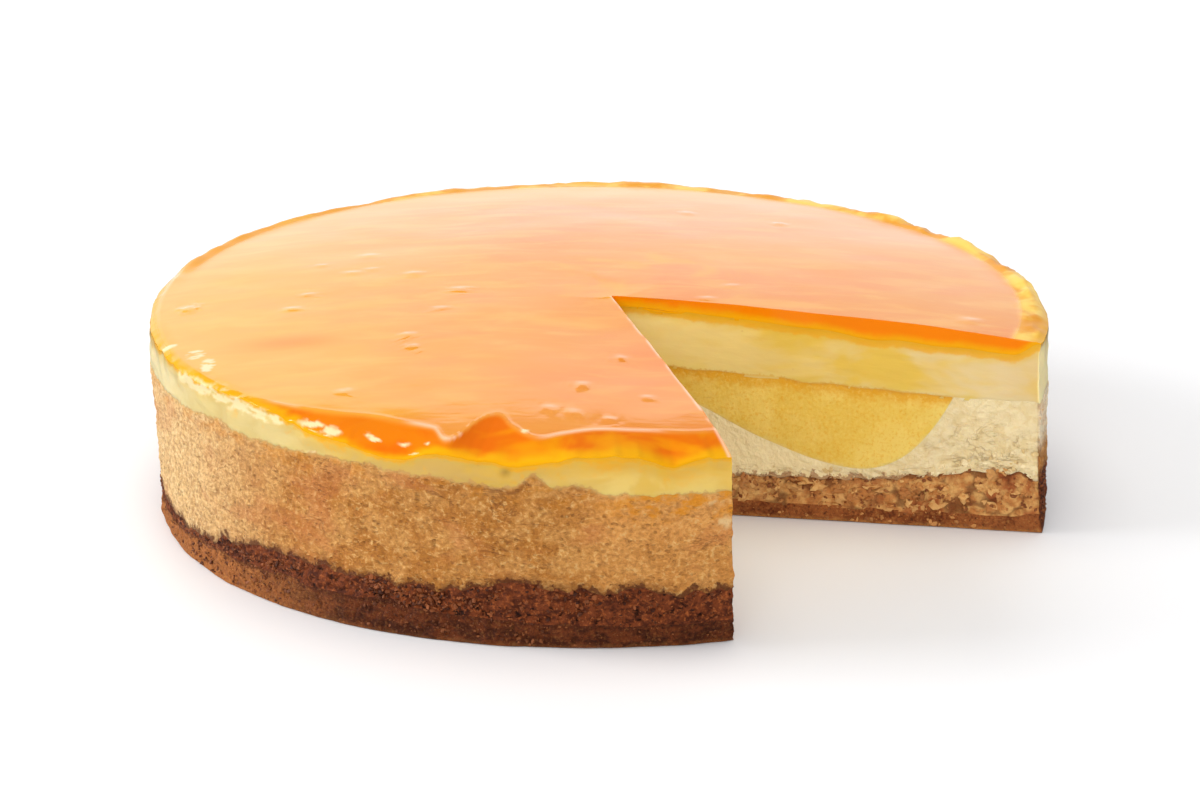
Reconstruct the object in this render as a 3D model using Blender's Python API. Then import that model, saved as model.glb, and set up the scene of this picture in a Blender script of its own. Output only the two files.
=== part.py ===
"""Key lime cheesecake, 23 cm across, with one slice of about 63 degrees cut out of it.

Six layers lie on each other: a pressed crumb base, a nut crumb, the baked cheesecake with a ring of lime
curd sunk in its top, a lime mousse and a poured glaze. Each layer is one solid between two border surfaces,
and neighbours share a border, set apart by a small gap.

A layer starts as a cube of side 1 with its faces cut into a grid. Its X runs round the cake from one cut
face to the other, its Y from the point of the missing slice out to the wall, and its Z from the lower border
to the upper one. Every vertex is then carried to its place in the round cake.

Lengths are in millimetres and angles in degrees. The origin is the middle of the base, +Z is up, and the
missing slice opens towards +X -Y.
"""

from dataclasses import dataclass
from math import atan2, cos, degrees, exp, hypot, radians, sin, sqrt
from typing import Callable

import bmesh
import bpy
from mathutils import Matrix, Vector, noise

MM = 0.001
LAYER_GAP = 0.3

# Outline: mean radii of the wall at the foot and at the rim, and how far out of round each is, as
# (turns in one round, cosine part, sine part). A swell is (angle, half width, rise).
FOOT_RADIUS = 116.2
FOOT_WAVES = ((1, 1.9, 0.2), (2, 1.0, 0.2), (3, 0.9, -1.1))
FOOT_SWELLS = ((-20.0, 11.0, 2.4),)
RIM_RADIUS = 117.2
RIM_WAVES = ((1, 0.9, -0.8), (2, 0.9, -1.1), (3, 0.5, -0.7))
WALL_FLARE_HEIGHT = 40.0

# The missing slice: its point, and the headings of its two cut faces. The second face leans a little.
SLICE_POINT = (4.7, -17.0)
NEAR_CUT_HEADING = -9.3
FAR_CUT_HEADING_AT_FOOT = 288.1
FAR_CUT_HEADING_AT_TOP = 286.5

# Heights of the borders between the layers, first inside the cake and then on the wall.
CRUMB_BASE_TOP = 4.2
CRUMB_BASE_WALL_TOP = 5.3
NUT_TOP_FLAT = 12.0
NUT_TOP_FLAT_SHARE = 0.53
NUT_TOP_CREST = 16.8
NUT_TOP_CREST_SHARE = 0.93
NUT_WALL_TOP = 14.0
CAKE_TOP_MIDDLE = 41.0
CAKE_WALL_TOP = 38.5
CAKE_WALL_START = 0.9
DOME_TOP = 59.4
DOME_DROP = 7.35
DOME_BACK_DROP = 2.1
DOME_BACK_DROP_START = 0.1
DOME_CUT_SAG = ((-76.0, 28.0, 1.0),)
DOME_CUT_SAG_SPAN = (0.12, 0.37)
GLAZE_WALL_FOOT = 49.3
GLAZE_NOSE = 1.7

# Waves and swells of each border along the wall.
CAKE_WALL_WAVES = ((1, -1.993, -2.375), (2, -0.65, 1.126))
CRUMB_BASE_WALL_SWELLS = ((-128.0, 30.0, 3.3), (40.0, 35.0, 1.8))
NUT_WALL_SWELLS = ((-158.0, 14.0, -5.0), (-100.0, 7.0, 2.4), (-10.0, 10.0, 1.5), (75.0, 25.0, 2.0))
CAKE_WALL_SWELLS = ((-97.0, 5.0, 1.2),)
GLAZE_WALL_SWELLS = (
    (-142.0, 14.0, 2.0),
    (-116.0, 8.0, -2.6),
    (-88.5, 5.0, 1.8),
    (-80.0, 4.0, -2.2),
    (30.0, 12.0, -1.4),
    (85.0, 16.0, 1.2),
    (135.0, 11.0, -1.6),
)

# The ring of curd, as shares of the wall's radius: inner end, deepest place and outer end.
CURD_INNER = 0.17
CURD_DEEPEST = 0.605
CURD_OUTER = 0.815
CURD_FLOOR = 15.0
CURD_INNER_CURVE = 1.48
CURD_OUTER_CURVE = 2.4
CURD_LIP = 0.5

# The glaze: its thickness at shares of the wall's radius, and where its top starts to roll down.
GLAZE_THICKNESS = ((0.0, 2.6), (0.3, 3.3), (0.65, 5.5), (0.95, 4.1))
GLAZE_WALL_BLEND = 0.93
GLAZE_ROLL_START = 0.9
GLAZE_ROLL_START_AT_CUT = 0.965
GLAZE_ROLL_NEAR_CUT = ((NEAR_CUT_HEADING, 30.0, 1.0),)
GLAZE_ROLL_FULLNESS = 0.7

# Grid: steps round the cake, rings in each border, and the spacing of the cuts on the cut faces.
STEPS_ROUND = 78
FLAT_BASE_RINGS = (0.93,)
NUT_TOP_RINGS = (0.53, 0.72, 0.86, 0.93)
CURD_FLOOR_RINGS = (0.26, 0.37, 0.49, 0.605, 0.68, 0.745, 0.79)
CAKE_TOP_RINGS = (CURD_INNER, 0.38, 0.6, CURD_OUTER, 0.92)
GLAZE_FOOT_RINGS = (0.3, 0.48, 0.65, 0.81, 0.93, 0.965)
GLAZE_TOP_RINGS = (0.3, 0.48, 0.65, 0.81, 0.9, 0.94, 0.97, 0.99)
CUT_FACE_PITCH = 4.0
CUT_FACE_LENGTH = 115.0
LIMIT_OF_FLAT = 0.02
SHARP_FROM = 35.0

# How much of the wall's relief is left out at a layer's own borders.
CALM_AT_BORDERS = 0.65

# The slice's point lies off centre, so only rings larger than its own share go round it.
SLICE_POINT_SHARE = hypot(*SLICE_POINT) / RIM_RADIUS
INNERMOST_RING = SLICE_POINT_SHARE + 0.01


@dataclass(frozen=True)
class Crags:
    """Relief of a broken or baked surface: height of the crags and the distance between them."""

    height: float
    pitch: float


@dataclass(frozen=True)
class Finish:
    """Plain colour (linear red, green, blue) and roughness of one layer."""

    colour: tuple
    roughness: float


@dataclass(frozen=True)
class Layer:
    """One layer: its border surfaces, the rings cut in each, and its relief."""

    name: str
    lower: Callable
    upper: Callable
    lower_rings: tuple
    upper_rings: tuple
    finish: Finish
    wall_rows: int = 1
    wall_crags: Crags = None
    cut_crags: Crags = None
    start: float = 0.0
    end: float = 1.0


def smooth(low, high, value):
    """0 below low, 1 above high and an even S curve between."""
    part = min(max((value - low) / (high - low), 0.0), 1.0)
    return part * part * (3.0 - 2.0 * part)


def mix(first, second, part):
    return first + (second - first) * part


def along(points, value):
    """Height of a smooth line through (place, height) points."""
    for (low, first), (high, second) in zip(points, points[1:]):
        if value <= high:
            return mix(first, second, smooth(low, high, value))
    return points[-1][1]


def swell(angle, swells):
    """Sum of the swells at this angle, each a bell shape."""
    total = 0.0
    for middle, half_width, rise in swells:
        away = (angle - middle + 180.0) % 360.0 - 180.0
        total += rise * exp(-((away / half_width) ** 2))
    return total


def out_of_round(angle, waves):
    return sum(
        cosine * cos(turns * radians(angle)) + sine * sin(turns * radians(angle))
        for turns, cosine, sine in waves
    )


def wall_radius(angle, height):
    foot = FOOT_RADIUS + out_of_round(angle, FOOT_WAVES) + swell(angle, FOOT_SWELLS)
    rim = RIM_RADIUS + out_of_round(angle, RIM_WAVES)
    return mix(foot, rim, min(height / WALL_FLARE_HEIGHT, 1.0))


def reach(heading, radius):
    """Distance from the slice's point, along a heading, to the circle of this radius round the origin."""
    along_heading = SLICE_POINT[0] * cos(radians(heading)) + SLICE_POINT[1] * sin(radians(heading))
    off_centre = SLICE_POINT[0] ** 2 + SLICE_POINT[1] ** 2
    return -along_heading + sqrt(along_heading**2 - off_centre + radius**2)


def plan(turn, share, height):
    """Place in plan of a grid point, on the circle at this share of the wall's radius."""
    far_cut = mix(FAR_CUT_HEADING_AT_FOOT, FAR_CUT_HEADING_AT_TOP, height / DOME_TOP)
    heading = mix(NEAR_CUT_HEADING, far_cut, turn)
    if share == 0.0:
        return Vector(SLICE_POINT), heading
    far = reach(heading, RIM_RADIUS)
    wall_angle = degrees(
        atan2(
            SLICE_POINT[1] + far * sin(radians(heading)),
            SLICE_POINT[0] + far * cos(radians(heading)),
        )
    )
    ring = max(share, INNERMOST_RING)
    distance = reach(heading, ring * wall_radius(wall_angle, height)) * share / ring
    return (
        Vector(SLICE_POINT) + distance * Vector((cos(radians(heading)), sin(radians(heading)))),
        heading,
    )


def floor(share, angle):
    return 0.0


def crumb_base_top(share, angle):
    wall = CRUMB_BASE_WALL_TOP + swell(angle, CRUMB_BASE_WALL_SWELLS)
    return mix(CRUMB_BASE_TOP, wall, smooth(FLAT_BASE_RINGS[0], 1.0, share))


def nut_top(share, angle):
    """Flat inside, with a crest near the wall where the crumb was pressed up the tin."""
    wall = NUT_WALL_TOP + swell(angle, NUT_WALL_SWELLS)
    rise = smooth(NUT_TOP_FLAT_SHARE, NUT_TOP_CREST_SHARE, share)
    crest = mix(NUT_TOP_FLAT, NUT_TOP_CREST, rise)
    return mix(crest, wall, smooth(NUT_TOP_CREST_SHARE, 1.0, share))


def cake_top(share, angle):
    """The top of the baked layer, which is also the curd's."""
    wall = CAKE_WALL_TOP + out_of_round(angle, CAKE_WALL_WAVES)
    slope = mix(CAKE_TOP_MIDDLE, wall, smooth(0.0, CAKE_WALL_START, share))
    return slope + swell(angle, CAKE_WALL_SWELLS) * smooth(CAKE_TOP_RINGS[-1], 1.0, share)


def curd_floor(share, angle):
    """A bowl that runs round the cake: steep on its outer side, easy on its inner one."""
    if share < CURD_DEEPEST:
        part = (CURD_DEEPEST - share) / (CURD_DEEPEST - CURD_INNER)
        curve = CURD_INNER_CURVE
    else:
        part = (share - CURD_DEEPEST) / (CURD_OUTER - CURD_DEEPEST)
        curve = CURD_OUTER_CURVE
    return mix(CURD_FLOOR, cake_top(share, angle) - CURD_LIP, min(part, 1.0) ** curve)


def dome(share, angle):
    """The cake's top without its rolled edge: lower at the back, and sunk a little along the far cut."""
    to_back = smooth(DOME_BACK_DROP_START, 1.0, share * sin(radians(angle)))
    drop = DOME_DROP * share**2 + DOME_BACK_DROP * to_back
    return DOME_TOP - drop - swell(angle, DOME_CUT_SAG) * smooth(*DOME_CUT_SAG_SPAN, share)


def glaze_foot(share, angle):
    """Where the glaze lies on the mousse."""
    wall = GLAZE_WALL_FOOT + swell(angle, GLAZE_WALL_SWELLS)
    inside = dome(share, angle) - along(GLAZE_THICKNESS, share)
    return mix(inside, wall, smooth(GLAZE_WALL_BLEND, 1.0, share))


def glaze_top(share, angle):
    """The dome, rolling down to a round nose at the wall."""
    beside_cut = swell(angle, GLAZE_ROLL_NEAR_CUT)
    start = mix(GLAZE_ROLL_START, GLAZE_ROLL_START_AT_CUT, beside_cut)
    if share <= start:
        return dome(share, angle)
    part = (share - start) / (1.0 - start)
    nose = GLAZE_WALL_FOOT + swell(angle, GLAZE_WALL_SWELLS) + GLAZE_NOSE
    return mix(nose, dome(share, angle), (1.0 - min(part, 1.0) ** 2) ** GLAZE_ROLL_FULLNESS)


def cake_upper(share, angle):
    """The baked layer's own top: the cake's top, and the bowl's floor where the curd lies in it."""
    clear = LAYER_GAP / RIM_RADIUS / 2
    if CURD_INNER - clear < share < CURD_OUTER + clear:
        return curd_floor(share, angle) - LAYER_GAP
    return cake_top(share, angle)


def raised(border):
    """The same border a gap higher, for the layer that lies on it."""
    return lambda share, angle: border(share, angle) + LAYER_GAP


def slice_block(bm, faces_wanted, axis, places):
    """Cuts the block's wanted faces across, at places along one axis."""
    normal = Vector((0.0, 0.0, 0.0))
    normal[axis] = 1.0
    for place in places:
        faces = [face for face in bm.faces if faces_wanted(face)]
        edges = {edge for face in faces for edge in face.edges}
        verts = {vert for face in faces for vert in face.verts}
        bmesh.ops.bisect_plane(
            bm,
            geom=[*faces, *edges, *verts],
            dist=1e-6,
            plane_co=normal * place,
            plane_no=normal,
        )


def split_borders(bm):
    """Splits each patch of both borders along the same diagonal, so that neighbours' facets are parallel."""
    for face in [face for face in bm.faces if abs(face.normal.z) > 0.5]:
        near = min(face.verts, key=lambda vert: vert.co.x + vert.co.y)
        far = max(face.verts, key=lambda vert: vert.co.x + vert.co.y)
        bmesh.utils.face_split(face, near, far)


def even(count, start=0.0, end=1.0):
    return [mix(start, end, step / count) for step in range(1, count)]


def grid_block(layer):
    """The cube that becomes a layer, with every grid line that its shape needs."""
    bm = bmesh.new()
    middle = (0.5, (layer.start + layer.end) / 2, 0.5)
    size = Matrix.Diagonal((1.0, layer.end - layer.start, 1.0, 1.0))
    bmesh.ops.create_cube(bm, size=1.0, matrix=Matrix.Translation(middle) @ size)
    slice_block(bm, lambda face: abs(face.normal.x) < 0.5, 0, even(STEPS_ROUND))
    slice_block(bm, lambda face: face.normal.z < -0.5, 1, layer.lower_rings)
    slice_block(bm, lambda face: face.normal.z > 0.5, 1, layer.upper_rings)
    slice_block(bm, lambda face: face.normal.y > 0.5, 2, even(layer.wall_rows))
    split_borders(bm)
    if layer.wall_crags:
        halfway = [place + 0.5 / STEPS_ROUND for place in (0.0, *even(STEPS_ROUND))]
        slice_block(bm, lambda face: face.normal.y > 0.5, 0, halfway)
    if layer.cut_crags:
        columns = round(CUT_FACE_LENGTH / CUT_FACE_PITCH)
        slice_block(bm, lambda face: abs(face.normal.x) > 0.5, 1, even(columns))
        slice_block(bm, lambda face: abs(face.normal.x) > 0.5, 2, even(layer.wall_rows))
    return bm


def crag(crags, place):
    """Height of the relief at a place, between about -height and +height."""
    return crags.height * 2.0 * noise.noise(place / crags.pitch)


def settle(layer, turn, share, level):
    """Carries one grid point of a layer to its place in the cake."""
    height = mix(layer.lower(share, 0.0), layer.upper(share, 0.0), level)
    for _ in range(2):
        spot, heading = plan(turn, share, height)
        angle = degrees(atan2(spot.y, spot.x))
        true_share = max(share, SLICE_POINT_SHARE)
        height = mix(layer.lower(true_share, angle), layer.upper(true_share, angle), level)
    place = Vector((spot.x, spot.y, height))
    if layer.wall_crags and share == 1.0:
        outward = Vector((cos(radians(angle)), sin(radians(angle)), 0.0))
        share_left = 1.0 - CALM_AT_BORDERS * abs(2.0 * level - 1.0) ** 3
        place += outward * crag(layer.wall_crags, place) * share_left
    if layer.cut_crags and turn in (0.0, 1.0) and share > 0.0:
        side = 1.0 if turn == 0.0 else -1.0
        inward = Vector((-sin(radians(heading)), cos(radians(heading)), 0.0)) * side
        place += inward * abs(crag(layer.cut_crags, place))
    return place


def build_layer(layer, collection):
    """Makes one layer's object."""
    bm = grid_block(layer)
    for vert in bm.verts:
        turn = round(vert.co.x, 5)
        share = round(vert.co.y, 5)
        level = round(vert.co.z, 5)
        vert.co = settle(layer, turn, share, level) * MM
    bmesh.ops.remove_doubles(bm, verts=bm.verts, dist=1e-6)
    bmesh.ops.dissolve_degenerate(bm, edges=bm.edges, dist=1e-6)
    bmesh.ops.dissolve_limit(bm, angle_limit=radians(LIMIT_OF_FLAT), verts=bm.verts, edges=bm.edges)
    bmesh.ops.recalc_face_normals(bm, faces=bm.faces)
    mesh = bpy.data.meshes.new(layer.name)
    bm.to_mesh(mesh)
    bm.free()
    mesh.shade_smooth()
    mesh.set_sharp_from_angle(angle=radians(SHARP_FROM))
    mesh.materials.append(make_material(layer))
    solid = bpy.data.objects.new(layer.name, mesh)
    collection.objects.link(solid)
    return solid


def make_material(layer):
    material = bpy.data.materials.new(layer.name)
    material.use_nodes = True
    shader = material.node_tree.nodes["Principled BSDF"]
    shader.inputs["Base Color"].default_value = (*layer.finish.colour, 1.0)
    shader.inputs["Roughness"].default_value = layer.finish.roughness
    shader.inputs["Metallic"].default_value = 0.0
    return material


LAYERS = (
    Layer(
        name="crumb_base",
        lower=floor,
        upper=crumb_base_top,
        lower_rings=(),
        upper_rings=FLAT_BASE_RINGS,
        finish=Finish((0.13, 0.055, 0.03), 0.9),
        wall_rows=2,
        wall_crags=Crags(0.7, 6.0),
        cut_crags=Crags(0.3, 5.0),
    ),
    Layer(
        name="nut_crumb",
        lower=raised(crumb_base_top),
        upper=nut_top,
        lower_rings=FLAT_BASE_RINGS,
        upper_rings=NUT_TOP_RINGS,
        finish=Finish((0.25, 0.12, 0.055), 0.85),
        wall_rows=3,
        wall_crags=Crags(0.8, 5.0),
        cut_crags=Crags(0.8, 5.0),
    ),
    Layer(
        name="cheesecake",
        lower=raised(nut_top),
        upper=cake_upper,
        lower_rings=NUT_TOP_RINGS,
        upper_rings=(
            CURD_INNER - LAYER_GAP / RIM_RADIUS,
            CURD_INNER,
            *CURD_FLOOR_RINGS,
            CURD_OUTER,
            CURD_OUTER + LAYER_GAP / RIM_RADIUS,
            CAKE_TOP_RINGS[-1],
        ),
        finish=Finish((0.74, 0.52, 0.27), 0.7),
        wall_rows=3,
    ),
    Layer(
        name="lime_curd_ring",
        lower=curd_floor,
        upper=cake_top,
        lower_rings=CURD_FLOOR_RINGS,
        upper_rings=CAKE_TOP_RINGS[1:-2],
        finish=Finish((0.86, 0.58, 0.09), 0.6),
        start=CURD_INNER,
        end=CURD_OUTER,
    ),
    Layer(
        name="lime_mousse",
        lower=raised(cake_top),
        upper=glaze_foot,
        lower_rings=CAKE_TOP_RINGS,
        upper_rings=GLAZE_FOOT_RINGS,
        finish=Finish((0.9, 0.79, 0.4), 0.5),
        wall_rows=2,
    ),
    Layer(
        name="citrus_glaze",
        lower=raised(glaze_foot),
        upper=glaze_top,
        lower_rings=GLAZE_FOOT_RINGS,
        upper_rings=GLAZE_TOP_RINGS,
        finish=Finish((0.95, 0.36, 0.02), 0.12),
    ),
)


def main():
    for existing in list(bpy.data.objects):
        bpy.data.objects.remove(existing, do_unlink=True)
    collection = bpy.data.collections.new("key_lime_cheesecake")
    bpy.context.scene.collection.children.link(collection)
    for layer in LAYERS:
        build_layer(layer, collection)


if __name__ == "__main__":
    main()
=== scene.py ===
"""Key lime cheesecake, 23 cm across, with one slice cut out of it: how its layers, crumbs and glaze look.

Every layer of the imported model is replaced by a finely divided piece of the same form. A piece starts as a cube
of side 1 whose faces are subdivided: X runs round the cake from one cut face to the other, Y from the point of
the missing slice out to the wall, and Z from the layer's lower border to its upper one. The grid is then carried
to its place in the cake, and the relief of its cut faces and of its wall is raised.

Lengths are in millimetres and angles in degrees. A mesh is turned into metres when it is put in place.
"""

import logging
from dataclasses import dataclass, field
from enum import Enum
from math import cos, radians, sin
from typing import Any, Callable, Dict, Optional, Sequence, Tuple, Union

import bpy
import numpy as np
from mathutils import Matrix, Vector, noise


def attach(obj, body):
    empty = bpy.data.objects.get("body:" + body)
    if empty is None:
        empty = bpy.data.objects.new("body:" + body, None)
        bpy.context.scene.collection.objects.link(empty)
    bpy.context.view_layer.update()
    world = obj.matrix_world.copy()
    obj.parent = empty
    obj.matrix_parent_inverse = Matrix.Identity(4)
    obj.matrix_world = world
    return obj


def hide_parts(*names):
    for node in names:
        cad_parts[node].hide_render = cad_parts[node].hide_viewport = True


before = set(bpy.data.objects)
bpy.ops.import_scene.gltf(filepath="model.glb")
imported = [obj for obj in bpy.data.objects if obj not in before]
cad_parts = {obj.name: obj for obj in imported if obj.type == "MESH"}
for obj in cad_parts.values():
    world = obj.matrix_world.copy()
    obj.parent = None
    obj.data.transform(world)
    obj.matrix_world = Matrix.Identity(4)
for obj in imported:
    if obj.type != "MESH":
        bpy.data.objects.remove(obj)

LOG = logging.getLogger("cheesecake")
MM = 0.001
BODY = "root"
# In a block of side 1, how near to a face counts as on it.
TOUCH = 1e-5
# A mark weaker than this is taken as none.
FAINT = 0.05
EVEN = (1.0, 1.0, 1.0)

Array = np.ndarray
Number = Union[float, Array]
Colour = Tuple[float, float, float]
Line = Sequence[Tuple[float, float]]
Swells = Sequence[Tuple[float, float, float]]
Pitch = Union[float, Tuple[float, float, float]]
Noise = Sequence[Tuple[float, Pitch, float]]
Oval = Tuple[float, float, float, float]
Blot = Tuple[float, float, float, float, float]
Marks = Dict[str, Array]
Border = Callable[["CakeShape", Array, Array], Array]
Socket = bpy.types.NodeSocket
Shade = Union[Colour, Socket]


def smooth(low: Number, high: Number, value: Number) -> Number:
    """Gives an even S curve that is 0 below low and 1 above high.

    Args:
        low: Where the curve starts to rise.
        high: Where it is full.
        value: The places to read it at.

    Returns:
        The curve's height at each place.
    """
    part = np.clip((value - low) / (high - low), 0.0, 1.0)
    return part * part * (3.0 - 2.0 * part)


def mix(first: Number, second: Number, part: Number) -> Number:
    """Returns first where part is 0, second where it is 1, and the values between."""
    return first + (second - first) * part


def turned(angle: Number) -> Number:
    """Returns the same angle, from -180 to 180."""
    return (angle + 180.0) % 360.0 - 180.0


def bells(angle: Number, swells: Swells) -> Number:
    """Adds up swells along the wall.

    Args:
        angle: Where on the wall.
        swells: The middle, half width and rise of each bell shape.

    Returns:
        Their height together.
    """
    total = np.zeros_like(angle, dtype=float)
    for middle, half_width, rise in swells:
        total = total + rise * np.exp(-((turned(angle - middle) / half_width) ** 2))
    return total


def waves(angle: Number, parts: Swells) -> Number:
    """Adds up waves round the cake.

    Args:
        angle: Where on the wall.
        parts: For each wave, its turns in one round, its cosine part and its sine part.

    Returns:
        Their height together.
    """
    total = np.zeros_like(angle, dtype=float)
    for turns, cosine, sine in parts:
        total = total + cosine * np.cos(turns * np.radians(angle)) + sine * np.sin(turns * np.radians(angle))
    return total


def through(points: Line, angle: Array) -> Array:
    """Reads a smooth closed line round the cake.

    Args:
        points: The angle and the value of each point that the line goes through.
        angle: Where to read it.

    Returns:
        The line's value at each angle.
    """
    places, values = np.array(points, dtype=float).T
    places = np.concatenate([places - 360.0, places, places + 360.0])
    values = np.tile(values, 3)
    slopes = np.gradient(values, places)
    here = turned(angle)
    index = np.clip(np.searchsorted(places, here) - 1, 0, len(places) - 2)
    span = places[index + 1] - places[index]
    t = (here - places[index]) / span
    start = (1.0 + 2.0 * t) * (1.0 - t) ** 2 * values[index] + t * (1.0 - t) ** 2 * span * slopes[index]
    end = t**2 * (3.0 - 2.0 * t) * values[index + 1] + t**2 * (t - 1.0) * span * slopes[index + 1]
    return start + end


def rough(points: Array, pitch: Pitch, seed: float = 0.0) -> Array:
    """Gives smooth noise at each point.

    Args:
        points: Places, one a row.
        pitch: The size of its lumps, one number or one for each axis.
        seed: Moves the noise, so that two reliefs differ.

    Returns:
        Values between about -1 and 1.
    """
    scaled = points / pitch + seed
    return 2.0 * np.array([noise.noise(place) for place in scaled.tolist()])


def relief(points: Array, parts: Noise) -> Array:
    """Adds up noise.

    Args:
        points: Places, one a row.
        parts: The height, the pitch and the seed of each part.

    Returns:
        The height at each point.
    """
    total = np.zeros(len(points))
    for height, pitch, seed in parts:
        total = total + height * rough(points, pitch, seed)
    return total


def lumps(points: Array, pitch: Pitch) -> Array:
    """Gives the distance to the nearest of many scattered middles, for crumb and nuts.

    Args:
        points: Places, one a row.
        pitch: The size of a lump, one number or one for each axis.

    Returns:
        0 in the middle of a lump and about 0.7 between lumps.
    """
    return np.array([noise.voronoi(place)[0][0] for place in (points / pitch).tolist()])


def oval(points: Array, x: float, y: float, half_x: float, half_y: float) -> Array:
    """Marks an oval in plan, with this middle and these half sizes: 1 in its middle and 0 away from it."""
    return np.exp(-(((points[:, 0] - x) / half_x) ** 2) - ((points[:, 1] - y) / half_y) ** 2)


def blot(points: Array, angle: float, height: float, half_width: float, half_height: float) -> Array:
    """Marks a round blot on the wall.

    Args:
        points: Places, one a row.
        angle: Where on the wall its middle is.
        height: How high that is.
        half_width: Half its width along the wall.
        half_height: Half its height.

    Returns:
        1 in its middle and 0 away from it.
    """
    here = np.degrees(np.arctan2(points[:, 1], points[:, 0]))
    along = np.radians(turned(here - angle)) * np.hypot(points[:, 0], points[:, 1]) / half_width
    return np.exp(-(along**2) - ((points[:, 2] - height) / half_height) ** 2)


def linear(colour: Colour) -> Tuple[float, float, float, float]:
    """Turns a colour as a screen shows it, 0 to 255, into linear red, green, blue and alpha."""
    parts = np.array(colour) / 255.0
    low = parts / 12.92
    high = ((parts + 0.055) / 1.055) ** 2.4
    return (*np.where(parts <= 0.04045, low, high).tolist(), 1.0)


class Axis(Enum):
    """The three ways along a layer's block."""

    ROUND = 0
    OUT = 1
    UP = 2


@dataclass(frozen=True)
class CakeShape:
    """The cake's outline, its cut faces and the borders between its layers."""

    foot_radius: float = 116.2
    foot_waves: Swells = ((1, 1.9, 0.2), (2, 1.0, 0.2), (3, 0.9, -1.1))
    foot_swells: Swells = ((-20.0, 11.0, 2.4),)
    rim_radius: float = 117.2
    rim_waves: Swells = ((1, 0.9, -0.8), (2, 0.9, -1.1), (3, 0.5, -0.7))
    flare_height: float = 40.0
    ring_clearance: float = 0.01

    point: Tuple[float, float] = (4.7, -17.0)
    near_cut: float = -9.3
    far_cut_at_foot: float = 288.1
    far_cut_at_top: float = 286.5

    base_top: float = 4.2
    base_wall_top: float = 5.3
    base_wall_swells: Swells = ((-128.0, 30.0, 3.3), (40.0, 35.0, 1.8))
    base_rise_start: float = 0.93
    base_uneven: Noise = ((0.45, 6.0, 0.0),)
    crumb_flat: float = 12.0
    crumb_flat_share: float = 0.53
    crumb_crest: float = 16.8
    crumb_crest_share: float = 0.93
    crumb_line: Line = (
        (-162, 9.0), (-153, 8.3), (-148, 9.1), (-142, 11.5), (-137, 13.4), (-127, 14.2), (-118, 13.8), (-105, 14.3),
        (-100, 17.1), (-96, 16.2), (-92, 15.0), (-88, 14.4), (-84, 15.8), (-80, 13.3), (-76, 14.0), (-40, 14.5),
        (-10, 15.5), (30, 14.3), (75, 16.0), (120, 14.0), (165, 12.0), (182, 10.5),
    )
    crumb_uneven: Noise = ((0.8, 4.6, 0.0), (0.3, 1.9, 4.0))
    fallen_height: Tuple[float, float] = (2.0, 8.0)
    cake_middle: float = 41.0
    cake_wall: float = 38.5
    cake_wall_waves: Swells = ((1, -1.993, -2.375), (2, -0.65, 1.126))
    cake_wall_swells: Swells = (
        (-97.0, 1.2, 3.0), (-92.0, 2.0, 1.6), (-88.5, 1.6, -0.7), (-101.5, 2.0, -0.6), (-118.0, 6.0, 0.6),
        (-145.0, 5.0, 0.8),
    )
    cake_uneven: Noise = ((0.3, 7.0, 0.0),)
    cake_ragged: Noise = ((0.35, 4.4, 6.0), (0.3, 1.8, 3.0))
    dome_top: float = 59.4
    dome_drop: float = 7.35
    dome_back_drop: float = 2.1
    dome_cut_sag: Swells = ((-76.0, 28.0, 1.0),)
    dome_cut_sag_span: Tuple[float, float] = (0.12, 0.37)

    curd_inner: float = 0.17
    curd_deepest: float = 0.605
    curd_outer: float = 0.815
    curd_floor: float = 15.0
    curd_inner_curve: float = 1.48
    curd_outer_curve: float = 2.4
    curd_lip: float = 0.5

    glaze_thickness: Line = ((0.0, 2.6), (0.3, 3.3), (0.65, 5.5), (0.95, 4.1))
    glaze_line: Line = (
        (-165, 50.3), (-150, 50.6), (-142, 51.4), (-136, 51.4), (-131, 50.6), (-127, 48.5), (-122, 48.3),
        (-118, 46.8), (-113, 46.4), (-111, 48.2), (-106, 48.4), (-98, 47.6), (-95, 48.9), (-90, 50.6), (-87, 50.6),
        (-83, 48.9), (-80, 47.3), (-77, 48.8), (-73, 49.1), (-40, 50.0), (-12, 51.4), (-6, 50.6), (0, 49.4),
        (15, 49.0), (30, 47.9), (45, 49.3), (62, 49.0), (85, 50.3), (105, 49.2), (120, 48.6), (135, 47.7),
        (150, 49.0), (165, 49.3), (180, 50.2),
    )
    glaze_uneven: Noise = ((0.3, 9.0, 0.0),)
    glaze_ragged: Noise = ((0.3, 4.0, 0.0), (0.15, 1.6, 2.0))
    glaze_down_at_cut: Tuple[float, float] = (0.955, 0.992)
    glaze_down: Tuple[float, float] = (0.93, 1.0)
    glaze_nose: float = 0.3
    ridge_line: Line = (
        (-160, 115.0), (-148, 115.5), (-140, 115.0), (-133, 113.5), (-125, 110.5), (-120, 108.0), (-116, 108.0),
        (-111, 109.0), (-107, 111.0), (-106, 103.5), (-104, 98.0), (-101, 103.5), (-97, 109.0), (-94, 106.5),
        (-90, 104.0), (-84, 104.5), (-78, 106.0), (-72, 107.0), (-40, 110.0), (-10, 113.5), (20, 112.5),
        (60, 112.0), (100, 112.5), (140, 113.0), (170, 114.0),
    )
    lip_height: float = 1.25
    lip_place: float = 0.972
    lip_width: float = 0.026
    lip_behind: float = 0.42
    lip_uneven: Noise = ((0.8, 24.0, 0.0), (0.45, 8.0, 1.0), (0.3, 3.0, 5.0))
    lip_lowest: float = 0.1
    bead_height: float = 0.12
    bead_width: float = 0.8
    bead_line: Swells = ((-95.0, 30.0, 1.0),)
    top_uneven: Noise = ((0.16, 34.0, 0.0), (0.05, 12.0, 3.0))

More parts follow.
